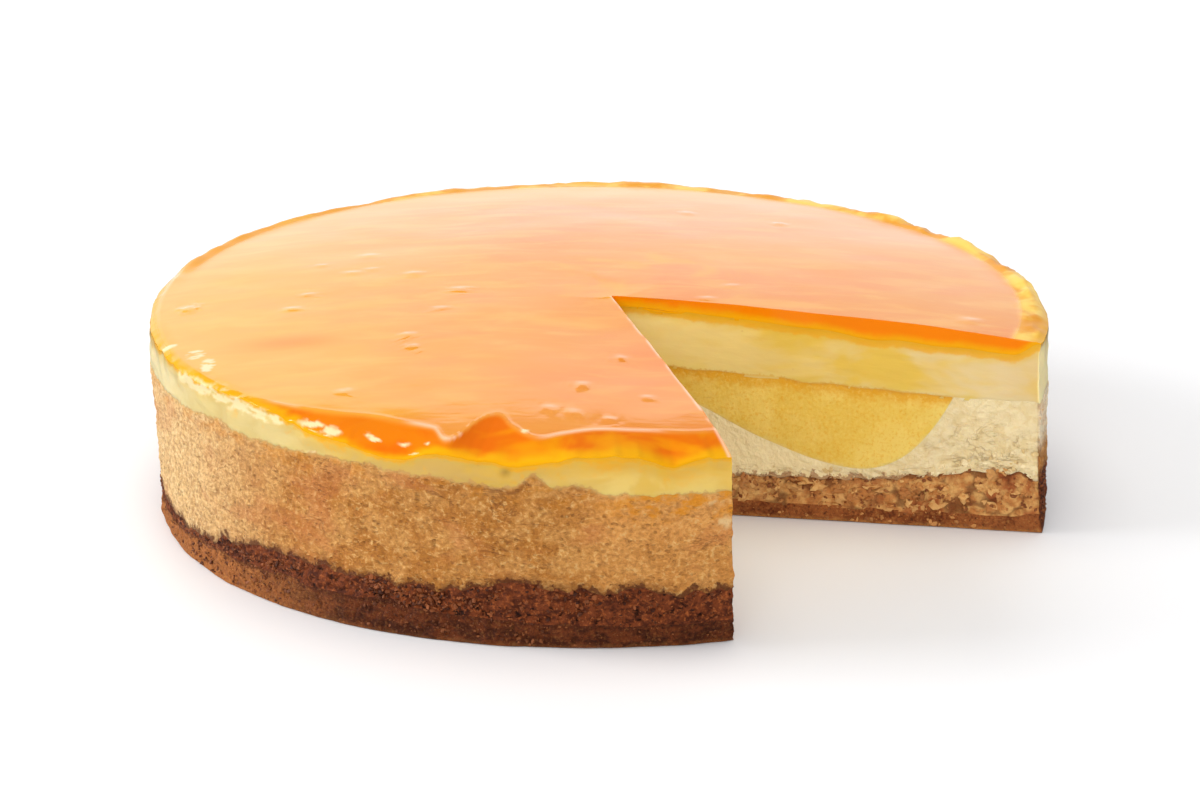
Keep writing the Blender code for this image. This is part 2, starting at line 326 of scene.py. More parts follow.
    def wall_radius(self, angle: Number, height: Number) -> Number:
        """Returns how far the wall is from the middle, at an angle and a height."""
        foot = self.foot_radius + waves(angle, self.foot_waves) + bells(angle, self.foot_swells)
        rim = self.rim_radius + waves(angle, self.rim_waves)
        return mix(foot, rim, np.minimum(height / self.flare_height, 1.0))

    def reach(self, heading: Number, radius: Number) -> Number:
        """Returns the way from the slice's point, along a heading, to the circle of this radius."""
        x, y = self.point
        along = x * np.cos(np.radians(heading)) + y * np.sin(np.radians(heading))
        return -along + np.sqrt(along**2 - x**2 - y**2 + radius**2)

    def point_share(self) -> float:
        """Returns the share of the wall's radius at which the slice's point lies."""
        return float(np.hypot(*self.point)) / self.rim_radius

    def innermost(self) -> float:
        """Returns the share of the wall's radius below which a ring no longer goes round the slice's point."""
        return self.point_share() + self.ring_clearance

    def plan(self, turn: Array, share: Array, height: Array) -> Tuple[Array, Array, Array]:
        """Finds grid points in plan.

        Args:
            turn: 0 on the near cut face to 1 on the far one.
            share: Share of the wall's radius.
            height: Height above the base.

        Returns:
            Their x, their y, and the heading from the slice's point to each.
        """
        far_cut = mix(self.far_cut_at_foot, self.far_cut_at_top, height / self.dome_top)
        heading = mix(self.near_cut, far_cut, turn)
        ahead = np.cos(np.radians(heading)), np.sin(np.radians(heading))
        far = self.reach(heading, self.rim_radius)
        wall_angle = np.degrees(np.arctan2(self.point[1] + far * ahead[1], self.point[0] + far * ahead[0]))
        ring = np.maximum(share, self.innermost())
        distance = self.reach(heading, ring * self.wall_radius(wall_angle, height)) * share / ring
        return self.point[0] + distance * ahead[0], self.point[1] + distance * ahead[1], heading

    def spot(self, share: Array, angle: Array, seed: float) -> Array:
        """Returns places in plan, for noise that two layers share along their border."""
        radius = share * self.rim_radius
        x, y = radius * np.cos(np.radians(angle)), radius * np.sin(np.radians(angle))
        return np.column_stack([x, y, np.full_like(x, seed)])

    def floor(self, share: Array, angle: Array) -> Array:
        """Returns the height of the cake's flat bottom."""
        return np.zeros_like(share)

    def base_upper(self, share: Array, angle: Array) -> Array:
        """Returns the height of the border between the pressed base and the nut crumb."""
        wall = self.base_wall_top + bells(angle, self.base_wall_swells)
        uneven = relief(self.spot(share, angle, 3.0), self.base_uneven)
        return mix(self.base_top, wall, smooth(self.base_rise_start, 1.0, share)) + uneven

    def crumb_upper(self, share: Array, angle: Array) -> Array:
        """Returns the height of the border between the nut crumb and the baked cheese."""
        rise = smooth(self.crumb_flat_share, self.crumb_crest_share, share)
        inside = mix(self.crumb_flat, self.crumb_crest, rise)
        edge = mix(inside, through(self.crumb_line, angle), smooth(self.crumb_crest_share, 1.0, share))
        return edge + relief(self.spot(share, angle, 9.0), self.crumb_uneven)

    def fallen_upper(self, share: Array, angle: Array) -> Array:
        """Returns how high the crumbs of baked cheese lie on the cut face: higher near the wall."""
        return self.crumb_upper(share, angle) + mix(*self.fallen_height, smooth(0.8, 0.97, share))

    def cake_top(self, share: Array, angle: Array) -> Array:
        """Returns the height of the baked cake's top, on which the mousse lies."""
        wall = self.cake_wall + waves(angle, self.cake_wall_waves)
        slope = mix(self.cake_middle, wall, smooth(0.0, 0.9, share))
        place = self.spot(share, angle, 5.0)
        edge = bells(angle, self.cake_wall_swells) + relief(place, self.cake_ragged)
        return slope + relief(place, self.cake_uneven) + smooth(0.97, 1.0, share) * edge

    def bowl(self, share: Array, angle: Array) -> Array:
        """Returns the floor of the bowl that the curd fills."""
        inner = (self.curd_deepest - share) / (self.curd_deepest - self.curd_inner)
        outer = (share - self.curd_deepest) / (self.curd_outer - self.curd_deepest)
        inner_rise = np.clip(inner, 0.0, 1.0) ** self.curd_inner_curve
        outer_rise = np.clip(outer, 0.0, 1.0) ** self.curd_outer_curve
        rise = np.where(share < self.curd_deepest, inner_rise, outer_rise)
        return mix(self.curd_floor, self.cake_top(share, angle) - self.curd_lip, rise)

    def cake_upper(self, share: Array, angle: Array) -> Array:
        """Returns the height of the baked cheese's own top, with the bowl in it."""
        in_bowl = (share > self.curd_inner) & (share < self.curd_outer)
        return np.where(in_bowl, self.bowl(share, angle), self.cake_top(share, angle))

    def dome(self, share: Array, angle: Array) -> Array:
        """Returns the height of the glaze's top, before its edge rolls down."""
        to_back = smooth(0.1, 1.0, share * np.sin(np.radians(angle)))
        drop = self.dome_drop * share**2 + self.dome_back_drop * to_back
        return self.dome_top - drop - bells(angle, self.dome_cut_sag) * smooth(*self.dome_cut_sag_span, share)

    def glaze_foot(self, share: Array, angle: Array) -> Array:
        """Returns the height of the border between the mousse and the glaze."""
        thickness = np.interp(share, *zip(*self.glaze_thickness))
        uneven = relief(self.spot(share, angle, 7.0), self.glaze_uneven)
        inside = self.dome(share, angle) - thickness + uneven
        at_cut = bells(angle, ((self.near_cut, 9.0, 1.0),))
        start, end = (mix(*ends, at_cut) for ends in zip(self.glaze_down, self.glaze_down_at_cut))
        return mix(inside, self.glaze_edge(angle), smooth(start, end, share))

    def glaze_edge(self, angle: Array) -> Array:
        """Returns the height of the glaze's lower edge on the wall."""
        place = self.spot(np.ones_like(angle), angle, 1.0)
        return through(self.glaze_line, angle) + relief(place, self.glaze_ragged)

    def glaze_upper(self, share: Array, angle: Array) -> Array:
        """Returns the height of the glaze's top, with its ridge and its rolled edge."""
        ridge = through(self.ridge_line, angle) / self.rim_radius
        part = np.clip((share - ridge) / (1.0 - ridge), 0.0, 1.0)
        rounded = 0.5 * part + 0.5 * (1.0 - np.sqrt(1.0 - part**2))
        at_wall = self.dome(np.ones_like(share), angle)
        drop = np.maximum(at_wall - self.glaze_edge(angle) - self.glaze_nose, 0.0)
        before_lip = np.minimum(share - self.lip_place, 0.0) / self.lip_width
        uneven_lip = np.maximum(1.0 + relief(self.spot(share, angle, 2.0), self.lip_uneven), self.lip_lowest)
        lip = self.lip_height * self.lip_share(angle) * uneven_lip * np.exp(-(before_lip**2))
        lip = lip * smooth(1.0, 0.985, share)
        from_ridge = (share - ridge) * self.rim_radius / self.bead_width
        bead = self.bead_height * np.exp(-(from_ridge**2)) * bells(angle, self.bead_line)
        uneven = relief(self.spot(share, angle, 8.0), self.top_uneven)
        return self.dome(share, angle) - drop * rounded + lip + bead + uneven * smooth(1.0, 0.9, share)

    def lip_share(self, angle: Array) -> Array:
        """Returns how much of the raised lip stands at the rim: none in front, most of it at the right."""
        right = smooth(-25.0, -8.0, turned(angle)) * smooth(70.0, 35.0, turned(angle))
        behind = smooth(35.0, 70.0, turned(angle)) * smooth(178.0, 160.0, turned(angle))
        return right + self.lip_behind * behind


class Bench:
    """The modelling bench: operators used as by hand, on one object at a time."""

    @staticmethod
    def clear_selection() -> None:
        """Deselects every object."""
        bpy.ops.object.select_all(action="DESELECT")

    @staticmethod
    def take(piece: bpy.types.Object) -> None:
        """Makes a piece the only one that is selected and active."""
        Bench.clear_selection()
        piece.select_set(True)
        bpy.context.view_layer.objects.active = piece

    @staticmethod
    def points(piece: bpy.types.Object) -> Array:
        """Returns a mesh's vertices, one a row."""
        found = np.empty(len(piece.data.vertices) * 3, np.float32)
        piece.data.vertices.foreach_get("co", found)
        return found.reshape(-1, 3).astype(float)

    @staticmethod
    def put(piece: bpy.types.Object, points: Array) -> None:
        """Puts a mesh's vertices at these points, given in millimetres."""
        piece.data.vertices.foreach_set("co", (points * MM).astype(np.float32).ravel())
        piece.data.update()

    @staticmethod
    def write(piece: bpy.types.Object, name: str, values: Array) -> None:
        """Stores one number for each vertex, for the material to read."""
        stored = piece.data.attributes.new(name, "FLOAT", "POINT")
        stored.data.foreach_set("value", values.astype(np.float32))

    @staticmethod
    def divide(piece: bpy.types.Object, axis: Axis, parts: int, chosen: Callable[[Array], Array]) -> None:
        """Subdivides the block's edges that run along one axis.

        Args:
            piece: The block.
            axis: The axis that the edges run along.
            parts: How many parts each becomes, up to 100.
            chosen: Takes the middles of the edges, and says which are cut.
        """
        mesh = piece.data
        ends = np.empty(len(mesh.edges) * 2, np.int32)
        mesh.edges.foreach_get("vertices", ends)
        corners = Bench.points(piece)[ends.reshape(-1, 2)]
        length = np.abs(corners[:, 1] - corners[:, 0])
        picked = (length[:, axis.value] > length.sum(axis=1) * 0.999) & chosen(corners.mean(axis=1))
        mesh.vertices.foreach_set("select", np.zeros(len(mesh.vertices), bool))
        mesh.polygons.foreach_set("select", np.zeros(len(mesh.polygons), bool))
        mesh.edges.foreach_set("select", picked)
        bpy.ops.object.mode_set(mode="EDIT")
        bpy.ops.mesh.subdivide(number_cuts=parts - 1)
        bpy.ops.object.mode_set(mode="OBJECT")

    @staticmethod
    def close_up(piece: bpy.types.Object, sharp_from: float = 50.0) -> None:
        """Merges what lies together, turns the faces outwards and smooths them, but for sharp edges."""
        Bench.take(piece)
        bpy.ops.object.mode_set(mode="EDIT")
        bpy.ops.mesh.select_all(action="SELECT")
        bpy.ops.mesh.remove_doubles(threshold=2e-6)
        bpy.ops.mesh.dissolve_degenerate(threshold=1e-6)
        bpy.ops.mesh.normals_make_consistent(inside=False)
        bpy.ops.object.mode_set(mode="OBJECT")
        bpy.ops.object.shade_smooth_by_angle(angle=radians(sharp_from))


@dataclass(frozen=True)
class Division:
    """How finely a layer's block is cut."""

    stations: Tuple[int, int] = (30, 28)
    rows: int = 20
    columns: Tuple[int, int] = (16, 11)
    upper_rings: int = 8
    lower_rings: int = 8
    fine_top: bool = False
    columns_bend: Tuple[float, float] = (0.5, 0.5)
    strip: float = 0.0101


@dataclass(frozen=True)
class Stations:
    """Where the steps round the cake lie: closer together on the side that the camera sees."""

    line: Line = ((0.0, 0.0), (0.01, 0.003), (0.1, 0.12), (0.4, 0.6), (0.985, 0.997), (1.0, 1.0))

    def turn(self, step: Array) -> Array:
        """Returns the turn, 0 to 1, of each step."""
        return np.interp(step, *zip(*self.line))


@dataclass
class Spread:
    """A layer's grid in its place, with what its relief and its material need."""

    points: Array
    turn: Array
    share: Array
    level: Array
    angle: Array
    heading: Array
    lower: Array
    upper: Array

    def on_wall(self) -> Array:
        """Says which points lie on the outer wall."""
        return self.share > 0.9999

    def on_top(self) -> Array:
        """Says which points lie on the upper border."""
        return self.level > 0.99

    def on_cut(self) -> Array:
        """Says which points lie on a cut face."""
        return (self.turn < 0.0001) | (self.turn > 0.9999)

    def outward(self) -> Array:
        """Returns the way out of the wall at each point."""
        turn = np.radians(self.angle)
        return np.column_stack([np.cos(turn), np.sin(turn), np.zeros_like(turn)])

    def cut_outward(self) -> Array:
        """Returns the way out of the nearer cut face at each point."""
        turn = np.radians(self.heading)
        side = np.where(self.turn < 0.5, 1.0, -1.0)
        return np.column_stack([np.sin(turn) * side, -np.cos(turn) * side, np.zeros_like(turn)])


class Worth:
    """A shader number that can be reckoned with: an operator adds the Math node that it needs."""

    def __init__(self, palette: "Palette", socket: bpy.types.NodeSocket) -> None:
        """Wraps a socket of the palette's material."""
        self.palette = palette
        self.socket = socket

    def _math(self, operation: str, *values: Any) -> "Worth":
        """Adds one Math node on these values."""
        node = self.palette.node("ShaderNodeMath", {"operation": operation}, dict(enumerate(values)))
        return Worth(self.palette, node.outputs[0])

    def __add__(self, other: Any) -> "Worth":
        """Adds."""
        return self._math("ADD", self, other)

    def __radd__(self, other: Any) -> "Worth":
        """Adds."""
        return self._math("ADD", other, self)

    def __sub__(self, other: Any) -> "Worth":
        """Subtracts."""
        return self._math("SUBTRACT", self, other)

    def __rsub__(self, other: Any) -> "Worth":
        """Subtracts from a number."""
        return self._math("SUBTRACT", other, self)

    def __mul__(self, other: Any) -> "Worth":
        """Multiplies."""
        return self._math("MULTIPLY", self, other)

    def __rmul__(self, other: Any) -> "Worth":
        """Multiplies."""
        return self._math("MULTIPLY", other, self)

    def __abs__(self) -> "Worth":
        """Drops the sign."""
        return self._math("ABSOLUTE", self)

    def most(self, other: Any) -> "Worth":
        """Takes the larger of two."""
        return self._math("MAXIMUM", self, other)

    def rise(self, low: float, high: float) -> "Worth":
        """Gives an even S curve from 0 at low to 1 at high; high may be the lower number."""
        settings = {"interpolation_type": "SMOOTHSTEP"}
        if low < high:
            ends = {"From Min": low, "From Max": high, "To Min": 0.0, "To Max": 1.0}
        else:
            ends = {"From Min": high, "From Max": low, "To Min": 1.0, "To Max": 0.0}
        node = self.palette.node("ShaderNodeMapRange", settings, {"Value": self, **ends})
        return Worth(self.palette, node.outputs["Result"])


@dataclass(frozen=True)
class Cloud:
    """Smooth noise: the size of its lumps in millimetres, how many finer layers it has and how strong each is."""

    pitch: float
    detail: float = 2.0
    gain: float = 0.5
    warp: float = 0.0
    stretch: Tuple[float, float, float] = EVEN


class Palette:
    """A material or a world in the making: its nodes, and the patterns that the finishes share."""

    def __init__(self, owner: Union[bpy.types.Material, bpy.types.World]) -> None:
        """Takes a new material or world, and empties it."""
        owner.use_nodes = True
        self.owner = owner
        self.tree = owner.node_tree
        self.tree.nodes.clear()
        self._place: Optional[Socket] = None

    def node(self, kind: str, settings: dict, inputs: dict) -> bpy.types.Node:
        """Adds a node.

        Args:
            kind: The node's type.
            settings: Its own settings, which are made first.
            inputs: Values, sockets or Worths, by the name or number of the input that takes them.

        Returns:
            The node.
        """
        made = self.tree.nodes.new(kind)
        for name, value in settings.items():
            setattr(made, name, value)
        for key, value in inputs.items():
            socket = made.inputs[key]
            if isinstance(value, Worth):
                value = value.socket
            if isinstance(value, bpy.types.NodeSocket):
                self.tree.links.new(value, socket)
            else:
                socket.default_value = value
        return made

    def place(self) -> Socket:
        """Returns the object's own coordinates, in metres."""
        if self._place is None:
            self._place = self.node("ShaderNodeTexCoord", {}, {}).outputs["Object"]
        return self._place

    def axes(self) -> Sequence["Worth"]:
        """Returns the object's own X, Y and Z, in metres."""
        split = self.node("ShaderNodeSeparateXYZ", {}, {"Vector": self.place()})
        return [Worth(self, socket) for socket in split.outputs]

    def stretched(self, stretch: Tuple[float, float, float]) -> Socket:
        """Returns the object's coordinates, stretched along each axis."""
        if stretch == EVEN:
            return self.place()
        scale = tuple(1.0 / part for part in stretch)
        return self.node("ShaderNodeMapping", {}, {"Vector": self.place(), "Scale": scale}).outputs["Vector"]

    def stored(self, name: str) -> Worth:
        """Reads a number that the mesh stores at each vertex."""
        node = self.node("ShaderNodeAttribute", {"attribute_name": name}, {})
        return Worth(self, node.outputs["Fac"])

    def cloud(self, cloud: Cloud) -> Worth:
        """Reads smooth noise, from 0 to 1 and about 0.5 in the middle."""
        inputs = {"Vector": self.stretched(cloud.stretch), "Scale": 1.0 / (cloud.pitch * MM),
                  "Detail": cloud.detail, "Roughness": cloud.gain, "Distortion": cloud.warp}
        return Worth(self, self.node("ShaderNodeTexNoise", {}, inputs).outputs["Fac"])

    def cells(self, pitch: float, stretch: Tuple[float, float, float] = EVEN) -> Worth:
        """Reads the distance to the nearest of many scattered points."""
        inputs = {"Vector": self.stretched(stretch), "Scale": 1.0 / (pitch * MM)}
        return Worth(self, self.node("ShaderNodeTexVoronoi", {}, inputs).outputs["Distance"])

    def frayed(self, distance: Worth, pattern: Worth, spread: float) -> Worth:
        """Shifts a distance by up to half the spread either way, so that a line drawn at it frays."""
        return distance + pattern * spread - spread / 2.0

    def tint(self, part: Worth, first: Shade, second: Shade) -> Socket:
        """Mixes two colours.

        Args:
            part: How much of the second there is.
            first: A colour as a screen shows it, or a socket.
            second: The same.

        Returns:
            The socket of the mixed colour.
        """
        colours = [linear(shade) if isinstance(shade, tuple) else shade for shade in (first, second)]
        settings = {"data_type": "RGBA", "clamp_factor": True}
        return self.node("ShaderNodeMix", settings, {0: part, 6: colours[0], 7: colours[1]}).outputs[2]

    def coats(self, colour: Shade, *coats: Tuple[Worth, Shade]) -> Socket:
        """Lays coats over a colour, one after the other.

        Args:
            colour: The colour underneath.
            coats: For each coat, how much of it there is, and its colour.

        Returns:
            The socket of the mixed colour.
        """
        for part, shade in coats:
            colour = self.tint(part, colour, shade)
        return colour

    def raised(self, height: Worth, depth: float, strength: float = 1.0) -> Socket:
        """Turns a height from 0 to 1 into a normal, for relief of this depth in millimetres."""
        inputs = {"Height": height, "Distance": depth * MM, "Strength": strength}
        return self.node("ShaderNodeBump", {}, inputs).outputs["Normal"]

    def finish(self, **inputs: Any) -> bpy.types.Material:
        """Adds the surface shader, with these inputs by name, and returns the material."""
        named = {key.replace("_", " ").title().replace("Ior", "IOR"): value for key, value in inputs.items()}
        shader = self.node("ShaderNodeBsdfPrincipled", {}, named)
        self.node("ShaderNodeOutputMaterial", {}, {"Surface": shader.outputs[0]})
        return self.owner


@dataclass(frozen=True)
class GlazeFinish:
    """Wet citrus glaze: deep orange where it is thick, yellow where it runs thin."""

    thick: Colour = (222, 132, 3)
    deep: Colour = (223, 119, 0)
    band: Colour = (222, 104, 0)
    band_light: Colour = (230, 142, 0)
    band_left: Colour = (216, 94, 0)
    face: Colour = (242, 124, 0)
    face_low: Colour = (236, 158, 6)
    amber: Colour = (224, 136, 14)
    # Pale colour for the top's paler streaks, and for its painted reflection towards the left.
    pale: Colour = (236, 174, 66)
    near: Colour = (232, 150, 92)
    beyond: Colour = (234, 172, 96)
    thin: Colour = (230, 166, 8)
    lip: Colour = (244, 206, 100)
    # Pinkish white of the painted highlight lines: on the ridge, behind the bubbles and along the far cut's edge.
    crest_highlight: Colour = (255, 214, 186)
    # Pale colour of the painted highlights: patches on the rim and glints on the top.
    painted_highlight: Colour = (230, 210, 158)
    left_line: Colour = (230, 158, 10)
    patches: Cloud = Cloud(22.0, 3.0, 0.55, 0.4, (1.6, 1.0, 1.0))
    smears: Cloud = Cloud(6.0, 3.0, 0.55, 0.5, (3.5, 1.0, 1.0))
    streaks: Cloud = Cloud(1.6, 2.0, 0.5, 0.3, (6.0, 1.0, 1.0))
    lip_patches: Cloud = Cloud(18.0, 4.0, 0.6)
    band_patches: Cloud = Cloud(9.0, 3.0, 0.55, 0.4, (2.0, 2.0, 1.0))
    face_line: Cloud = Cloud(3.0, 3.0, 0.55)
    thin_line: Cloud = Cloud(6.0, 2.0, 0.6, 0.5, (2.5, 2.5, 1.0))
    ripples: Cloud = Cloud(3.5, 2.0, 0.5, 0.3, (2.2, 1.0, 1.0))

    def make(self) -> bpy.types.Material:
        """Builds the material."""
        p = Palette(bpy.data.materials.new("wet_citrus_glaze"))
        x, y, _ = p.axes()
        height, thin, cut, roll = (p.stored(name) for name in ("above_foot", "thin", "cut", "roll"))
        top = 1.0 - cut
        patches, smears = p.cloud(self.patches), p.cloud(self.smears)
        light = smears.rise(0.42, 0.76) * 0.45 + p.cloud(self.streaks).rise(0.56, 0.74) * 0.12
        creamy = p.cloud(self.lip_patches).rise(0.44, 0.58) * x.rise(-0.1, -0.05)
        near = y.rise(-0.03, -0.085) * x.rise(-0.07, -0.01) * (1.0 - roll)
        beyond = x.rise(-0.02, 0.05) * y.rise(-0.04, 0.02) * (1.0 - thin)
        band = p.coats(
            self.band,
            (p.cloud(self.band_patches).rise(0.42, 0.62), self.band_light),
            (x.rise(-0.008, -0.04) * 0.6, self.band_left),
        )
        low = p.frayed(height, p.cloud(self.face_line), 1.8).rise(2.6, 0.2)
        right = x.rise(-0.03, 0.006) * top
        runs = p.frayed(height * (1.0 - right * 0.3), p.cloud(self.thin_line), 4.0).rise(2.3, 0.2)
        colour = p.coats(
            self.thick,
            (patches.rise(0.4, 0.66), self.deep),
            (light * top, self.pale),
            # Painted reflection: paler towards the left, where the glaze would mirror more light.
            (x.rise(0.03, -0.11) * (0.5 + smears * 0.5) * top, self.pale),
            (y.rise(0.07, 0.112) * top * (0.3 + patches), self.thin),
            (p.frayed(thin, patches, 0.5).rise(0.15, 0.8), self.thin),
            (thin * (1.0 - creamy) * 0.6, self.amber),
            (thin * creamy * 0.85, self.lip),
            (p.stored("amber"), self.amber),
            (p.stored("left_line"), self.left_line),
            (near * top * 0.4, self.near),
            (beyond * top * 0.35, self.beyond),
            (roll * 0.95, band),
            (cut * 0.8, self.face),
            (low * cut, self.face_low),
            (runs * (0.85 - cut * 0.6), self.thin),
            # Painted highlight lines on the ridge, behind the bubbles and along the far cut's edge.
            (p.stored("crest_highlight") * 0.6, self.crest_highlight),
            # Painted highlights where the left light would shine on the wet rim.
            (p.stored("painted_highlight"), self.painted_highlight),
        )
        wear = 0.05 + smears * 0.07 + thin.rise(0.2, 0.9) * 0.4
        normal = p.raised(p.cloud(self.ripples), 0.05, 0.6)
        return p.finish(base_color=colour, roughness=wear, normal=normal, ior=1.45)


@dataclass(frozen=True)
class MousseFinish:
    """Smooth pale mousse, stained by the glaze that lies on it."""

    cream: Colour = (226, 196, 116)
    warm: Colour = (224, 186, 74)
    # Paler on the cut face towards the slice's point: painted light where the notch between the cut faces shades
    # it.
    light: Colour = (246, 222, 146)
    cut_pale: Colour = (224, 200, 154)
    cut_end: Colour = (216, 186, 128)
    cut_seam: Colour = (220, 168, 66)
    # Darker wall colours, laid from the front round to the right: painted shade under the glaze's overhang; their
    # blotches are the mousse's own.
    skin: Colour = (196, 158, 84)
    skin_warm: Colour = (206, 162, 58)
    skin_pale: Colour = (226, 198, 114)
    left: Colour = (204, 184, 126)
    left_shade: Colour = (196, 166, 92)
    # Paler at the far left of the wall: painted light, where the left lamp falls strongest.
    far_left_light: Colour = (226, 212, 166)
    # Paler wall at the right end: painted light on a side that lies in shade.
    right_end_light: Colour = (255, 236, 178)
    wall_seam: Colour = (196, 140, 78)
    stain: Colour = (230, 164, 8)
    halo: Colour = (226, 180, 52)
    fleck: Colour = (196, 140, 70)
    # Darker colour in the small hole in the wall: painted shade.
    hole_shade: Colour = (190, 148, 52)
    # Pale colour of the painted highlights on the rim.
    painted_highlight: Colour = (230, 210, 158)
    patches: Cloud = Cloud(12.0, 3.0, 0.55, 0.5, (2.0, 2.0, 1.0))
    blotches: Cloud = Cloud(9.0, 3.0, 0.6, 0.6, (1.6, 1.6, 1.0))
    stain_line: Cloud = Cloud(3.4, 3.0, 0.6)
    halo_line: Cloud = Cloud(7.0, 3.0, 0.6, 0.4, (2.2, 2.2, 1.0))
    drips: Cloud = Cloud(5.0, 3.0, 0.6)
    seam_line: Cloud = Cloud(1.3, 3.0, 0.65)
    flecked: Cloud = Cloud(14.0)
    streaks: Cloud = Cloud(2.2, 3.0, 0.6, 0.2, (3.0, 3.0, 1.0))

    def make(self) -> bpy.types.Material:
        """Builds the material."""
        p = Palette(bpy.data.materials.new("pale_lime_mousse"))
        x, _, _ = p.axes()
        below, above, wall, cut = (p.stored(name) for name in ("below_top", "above_foot", "wall", "cut"))
        outside = wall * (1.0 - cut)
        right = wall * x.rise(-0.03, 0.008)
        patches, blotches = p.cloud(self.patches), p.cloud(self.blotches)
        skin = p.tint(blotches.rise(0.42, 0.6), self.skin, self.skin_warm)
        pale = right * (blotches.rise(0.6, 0.4) * 0.5 + 0.35) * below.rise(1.5, 5.5)
        stained = p.frayed(below, p.cloud(self.stain_line), 2.6)
        wide = p.frayed(below * (1.0 - right * 0.62), p.cloud(self.halo_line), 4.0)
        drips = outside * p.cloud(self.drips).rise(0.54, 0.68) * below.rise(7.0, 2.0)
        seam = p.frayed(above, p.cloud(self.seam_line), 3.0).rise(0.5, 0.0)
        flecks = p.cells(5.0).rise(0.09, 0.03) * p.cloud(self.flecked).rise(0.5, 0.6)
        colour = p.coats(
            self.cream,
            (patches.rise(0.42, 0.62), self.warm),
            # Painted light: the cut face paler towards the slice's point, where the notch shades it.
            (cut * x.rise(0.05, 0.008) * 0.75, self.light),
            (cut * x.rise(0.06, 0.1) * patches.rise(0.66, 0.4) * 0.8, self.cut_pale),
            (cut * x.rise(0.1, 0.112) * 0.5, self.cut_end),
            # Painted shade under the glaze's overhang, on the wall from the front to the right.
            (wall * 0.85 * x.rise(-0.085, -0.05), skin),
            (wall * x.rise(-0.05, -0.085) * (0.6 + blotches * 0.5), self.left),
            (wall * blotches.rise(0.5, 0.64) * x.rise(-0.03, -0.07) * 0.35, self.left_shade),
            # Painted light: the wall paler at the far left, where the left lamp falls strongest.
            (wall * x.rise(-0.098, -0.112) * 0.7, self.far_left_light),
            (pale, self.skin_pale),
            (wide.rise(4.2, 0.6) * (0.35 + cut * 0.4 + right * 0.1), self.halo),
            (wide.rise(1.6, -0.4) * right * 0.8, self.stain),
            # Painted light: the wall paler at the right end, which lies in shade.
            (wall * x.rise(0.1, 0.114) * 0.9, self.right_end_light),
            (stained.rise(1.4, 0.1) * 0.85, self.stain),
            ((stained - cut * 1.2).rise(1.2, 0.2) * 0.8, self.stain),
            (drips * 0.5, self.stain),
            (seam * cut * x.rise(0.096, 0.09) * 0.7, self.cut_seam),
            (seam * outside * 0.6, self.wall_seam),
            # Painted shade in the hole.
            (p.stored("hole_shade") * 0.8, self.hole_shade),
            # Painted highlights where the left light would shine on the wet rim.
            (p.stored("painted_highlight"), self.painted_highlight),
            (flecks * 0.6, self.fleck),
        )
        normal = p.raised(p.cloud(self.streaks), 0.3, 0.5)
        return p.finish(base_color=colour, roughness=0.42 - wall * 0.12 + patches * 0.1, normal=normal,
                        subsurface_weight=0.3, subsurface_radius=(1.0, 0.6, 0.25), subsurface_scale=3.0 * MM,
                        coat_weight=wall * below.rise(5.0, 0.5) * 0.6, coat_roughness=0.12)


@dataclass(frozen=True)
class CurdFinish:
    """Golden lime curd: fine grained, deeper in colour under the mousse."""

    gold: Colour = (228, 188, 74)
    deep: Colour = (222, 156, 8)
    pale: Colour = (236, 202, 98)
    seam: Colour = (208, 140, 36)
    foot: Colour = (230, 202, 122)
    nick: Colour = (176, 120, 30)
    grain: Cloud = Cloud(0.8, 3.0, 0.65)
    patches: Cloud = Cloud(12.0, 3.0)
    deep_line: Cloud = Cloud(3.0, 3.0)
    seam_line: Cloud = Cloud(1.6, 3.0, 0.6)
    foot_line: Cloud = Cloud(2.4, 3.0, 0.6)

    def make(self) -> bpy.types.Material:
        """Builds the material."""
        p = Palette(bpy.data.materials.new("golden_lime_curd"))
        below, above = p.stored("below_top"), p.stored("above_foot")
        grain = p.cloud(self.grain)
        nicks = p.cells(7.0, (2.6, 2.6, 0.8)).rise(0.1, 0.02)
        colour = p.coats(
            self.gold,
            (p.cloud(self.patches).rise(0.4, 0.65), self.pale),
            (p.frayed(below, p.cloud(self.deep_line), 5.0).rise(4.4, 0.4) * 0.85, self.deep),
            (grain.rise(0.5, 0.7) * 0.55, self.deep),
            (grain.rise(0.5, 0.3) * 0.5, self.pale),
            (p.frayed(below, p.cloud(self.seam_line), 2.6).rise(0.9, 0.1) * 0.5, self.seam),
            (p.frayed(above, p.cloud(self.foot_line), 2.4).rise(1.1, -0.2) * 0.5, self.foot),
            (nicks * 0.7, self.nick),
        )
        normal = p.raised(grain - nicks * 0.8, 0.35, 0.7)
        return p.finish(base_color=colour, roughness=0.5 + grain * 0.1, normal=normal, subsurface_weight=0.2,
                        subsurface_radius=(1.0, 0.6, 0.15), subsurface_scale=2.0 * MM)


